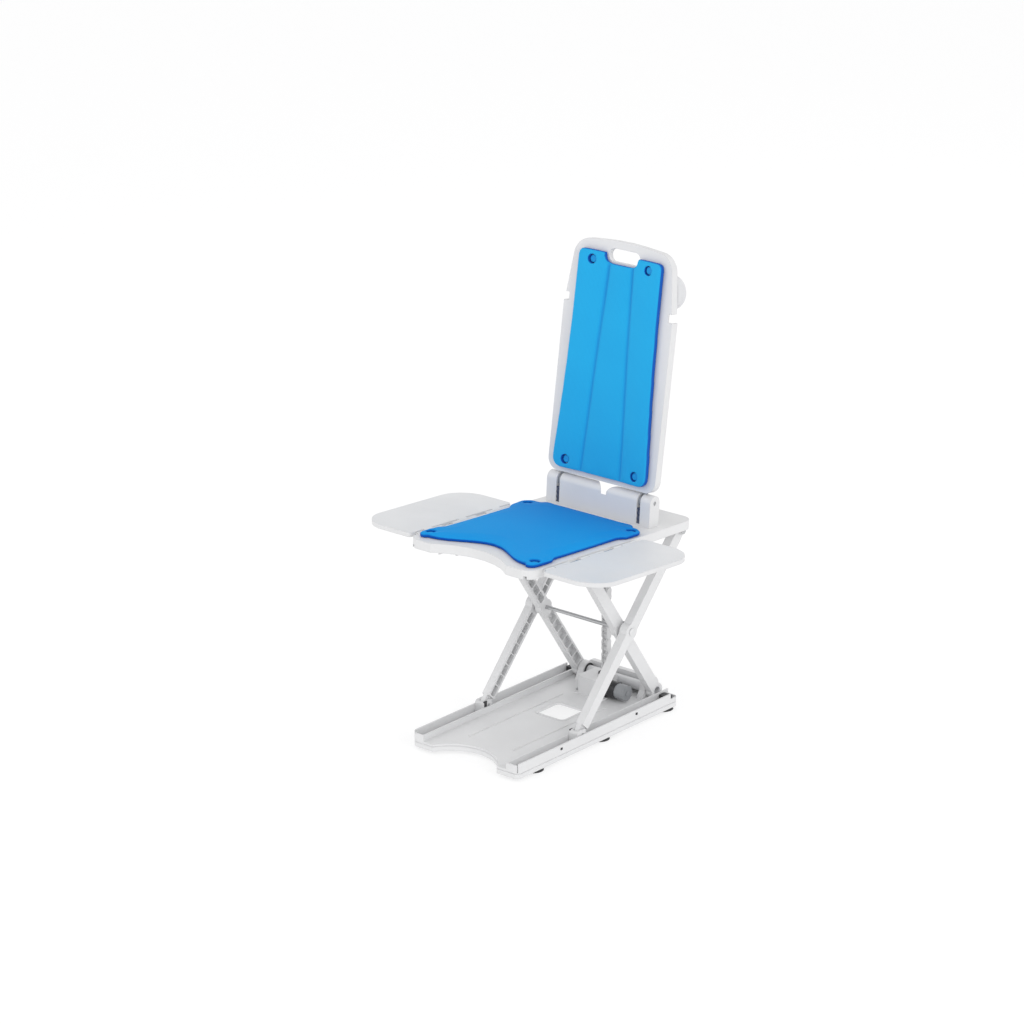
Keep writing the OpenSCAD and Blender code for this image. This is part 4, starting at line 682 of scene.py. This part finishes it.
def buildChain(look):
    low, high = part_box("thrust_chain")
    depth = (low[1] + high[1]) / 2
    count = int(round((high[2] - low[2]) / look["pitch"]))
    pitch = (high[2] - low[2]) / count
    pins = low[2] + pitch * (np.arange(count) + 0.5)
    between = (pins[1:] + pins[:-1]) / 2
    outline = cheekOutline(pitch, look)

    def atHeights(heights):
        return np.column_stack([np.zeros(len(heights)), np.full(len(heights), depth), heights])

    parts = []
    for side in (1.0, -1.0):
        for turn, reach in ((0, look["wide"]), (1, look["narrow"])):
            cheek = carried(outline, (side * reach[0], side * reach[1]), side * look["ease"])
            parts.append(repeated(*cheek, atHeights(between[turn::2])))
    headReach = look["wide"][1] + look["pinProud"]
    for radius, reach in ((look["roller"], look["narrow"][0]), (look["pinHead"], headReach)):
        rod = carried(circle(look["roundCount"]) * radius, (-reach, reach), look["ease"])
        parts.append(repeated(*rod, atHeights(pins)))
    chain = hardPiece("thrustChainLinks", *joined(parts), "chainPlastic")
    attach(chain, "base")
    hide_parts("thrust_chain")
    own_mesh(chain)
    print("chain:", count, "pins")


buildChain(chainLook)


# Raised signs on the buttons: an arrow up, an arrow down and a square
signLook = {"size": 0.0062, "rise": 0.0005, "sink": 0.0003, "ease": 0.00015}
signShapes = {
    "up_button": np.array([(-1.0, -0.55), (1.0, -0.55), (0.0, 0.85)]),
    "down_button": np.array([(-1.0, 0.55), (0.0, -0.85), (1.0, 0.55)]),
    "stop_button": np.array([(-0.8, -0.8), (0.8, -0.8), (0.8, 0.8), (-0.8, 0.8)]),
}


def buildSign(body, look):
    # the outline is carried out of the button's face along the back's depth
    points = fromRow(pointValues(cadNodes[body].data, "co"), backPlace)
    face = points[:, 1].max()
    middle = (points[:, [0, 2]].min(axis=0) + points[:, [0, 2]].max(axis=0)) / 2
    reach = (face - look["sink"], face + look["rise"])
    solid, blocks = carried(signShapes[body] * look["size"], reach, look["ease"])
    local = np.column_stack([solid[:, 1] + middle[0], solid[:, 0], solid[:, 2] + middle[1]])
    sign = hardPiece(body.split("_")[0] + "Sign", toRow(local, backPlace), blocks, "whitePlastic")
    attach(sign, body)


for body in signShapes:
    buildSign(body, signLook)
print("signs set")


# Rail clips: push-in clips with soft square heads along the outer walls of the rails
railClipLook = {
    "half": (0.0036, 0.0028), "proud": 0.0011, "sunk": 0.0006, "ease": 0.0004, "roundCount": 24,
    "spots": (-0.155, 0.112), "height": 0.034,
}


def buildRailClips(look):
    # the head's outline is a superellipse of the fourth power, carried out of the wall
    wave = circle(look["roundCount"])
    outline = np.sign(wave) * np.sqrt(np.abs(wave)) * np.array(look["half"])
    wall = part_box("base_pan")[1][0]
    shifts = np.array([(0.0, spot, look["height"]) for spot in look["spots"]])
    parts = []
    for side in (1.0, -1.0):
        reach = (side * (wall - look["sunk"]), side * (wall + look["proud"]))
        parts.append(repeated(*carried(outline, reach, side * look["ease"]), shifts))
    clips = hardPiece("railClips", *joined(parts), "darkPlastic")
    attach(clips, "base")
    print("rail clips:", len(clips.data.polygons), "faces")


buildRailClips(railClipLook)


# Slot springs: a folded strip stands in each slot of the hinge block, under the arm of the back
springLook = {
    "inner": 0.1127, "outer": 0.1213, "ahead": 0.0156, "thick": 0.0045, "foot": -0.0505, "head": -0.0145,
    "folds": 3, "fold": 0.0009, "ease": 0.0003, "count": 31,
}


def buildSlotSprings(look):
    # the front of the strip waves as a cosine up its height and its rear is straight
    hinge = fromRow(backPivot[None], seatPlace)[0]
    up = np.linspace(0.0, 1.0, look["count"])
    height = hinge[2] + look["foot"] + (look["head"] - look["foot"]) * up
    front = hinge[1] - look["ahead"] + look["fold"] * (1.0 - np.cos(2 * math.pi * look["folds"] * up))
    rear = np.full(look["count"], hinge[1] - look["ahead"] + look["thick"])
    outline = np.vstack([np.column_stack([front, height]), np.column_stack([rear, height])[::-1]])
    parts = [carried(outline, (side * look["inner"], side * look["outer"]), side * look["ease"])
             for side in (1.0, -1.0)]
    points, blocks = joined(parts)
    springs = hardPiece("slotSprings", toRow(points, seatPlace), blocks, "slateClip")
    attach(springs, "seat")
    print("slot springs:", len(springs.data.polygons), "faces")


buildSlotSprings(springLook)
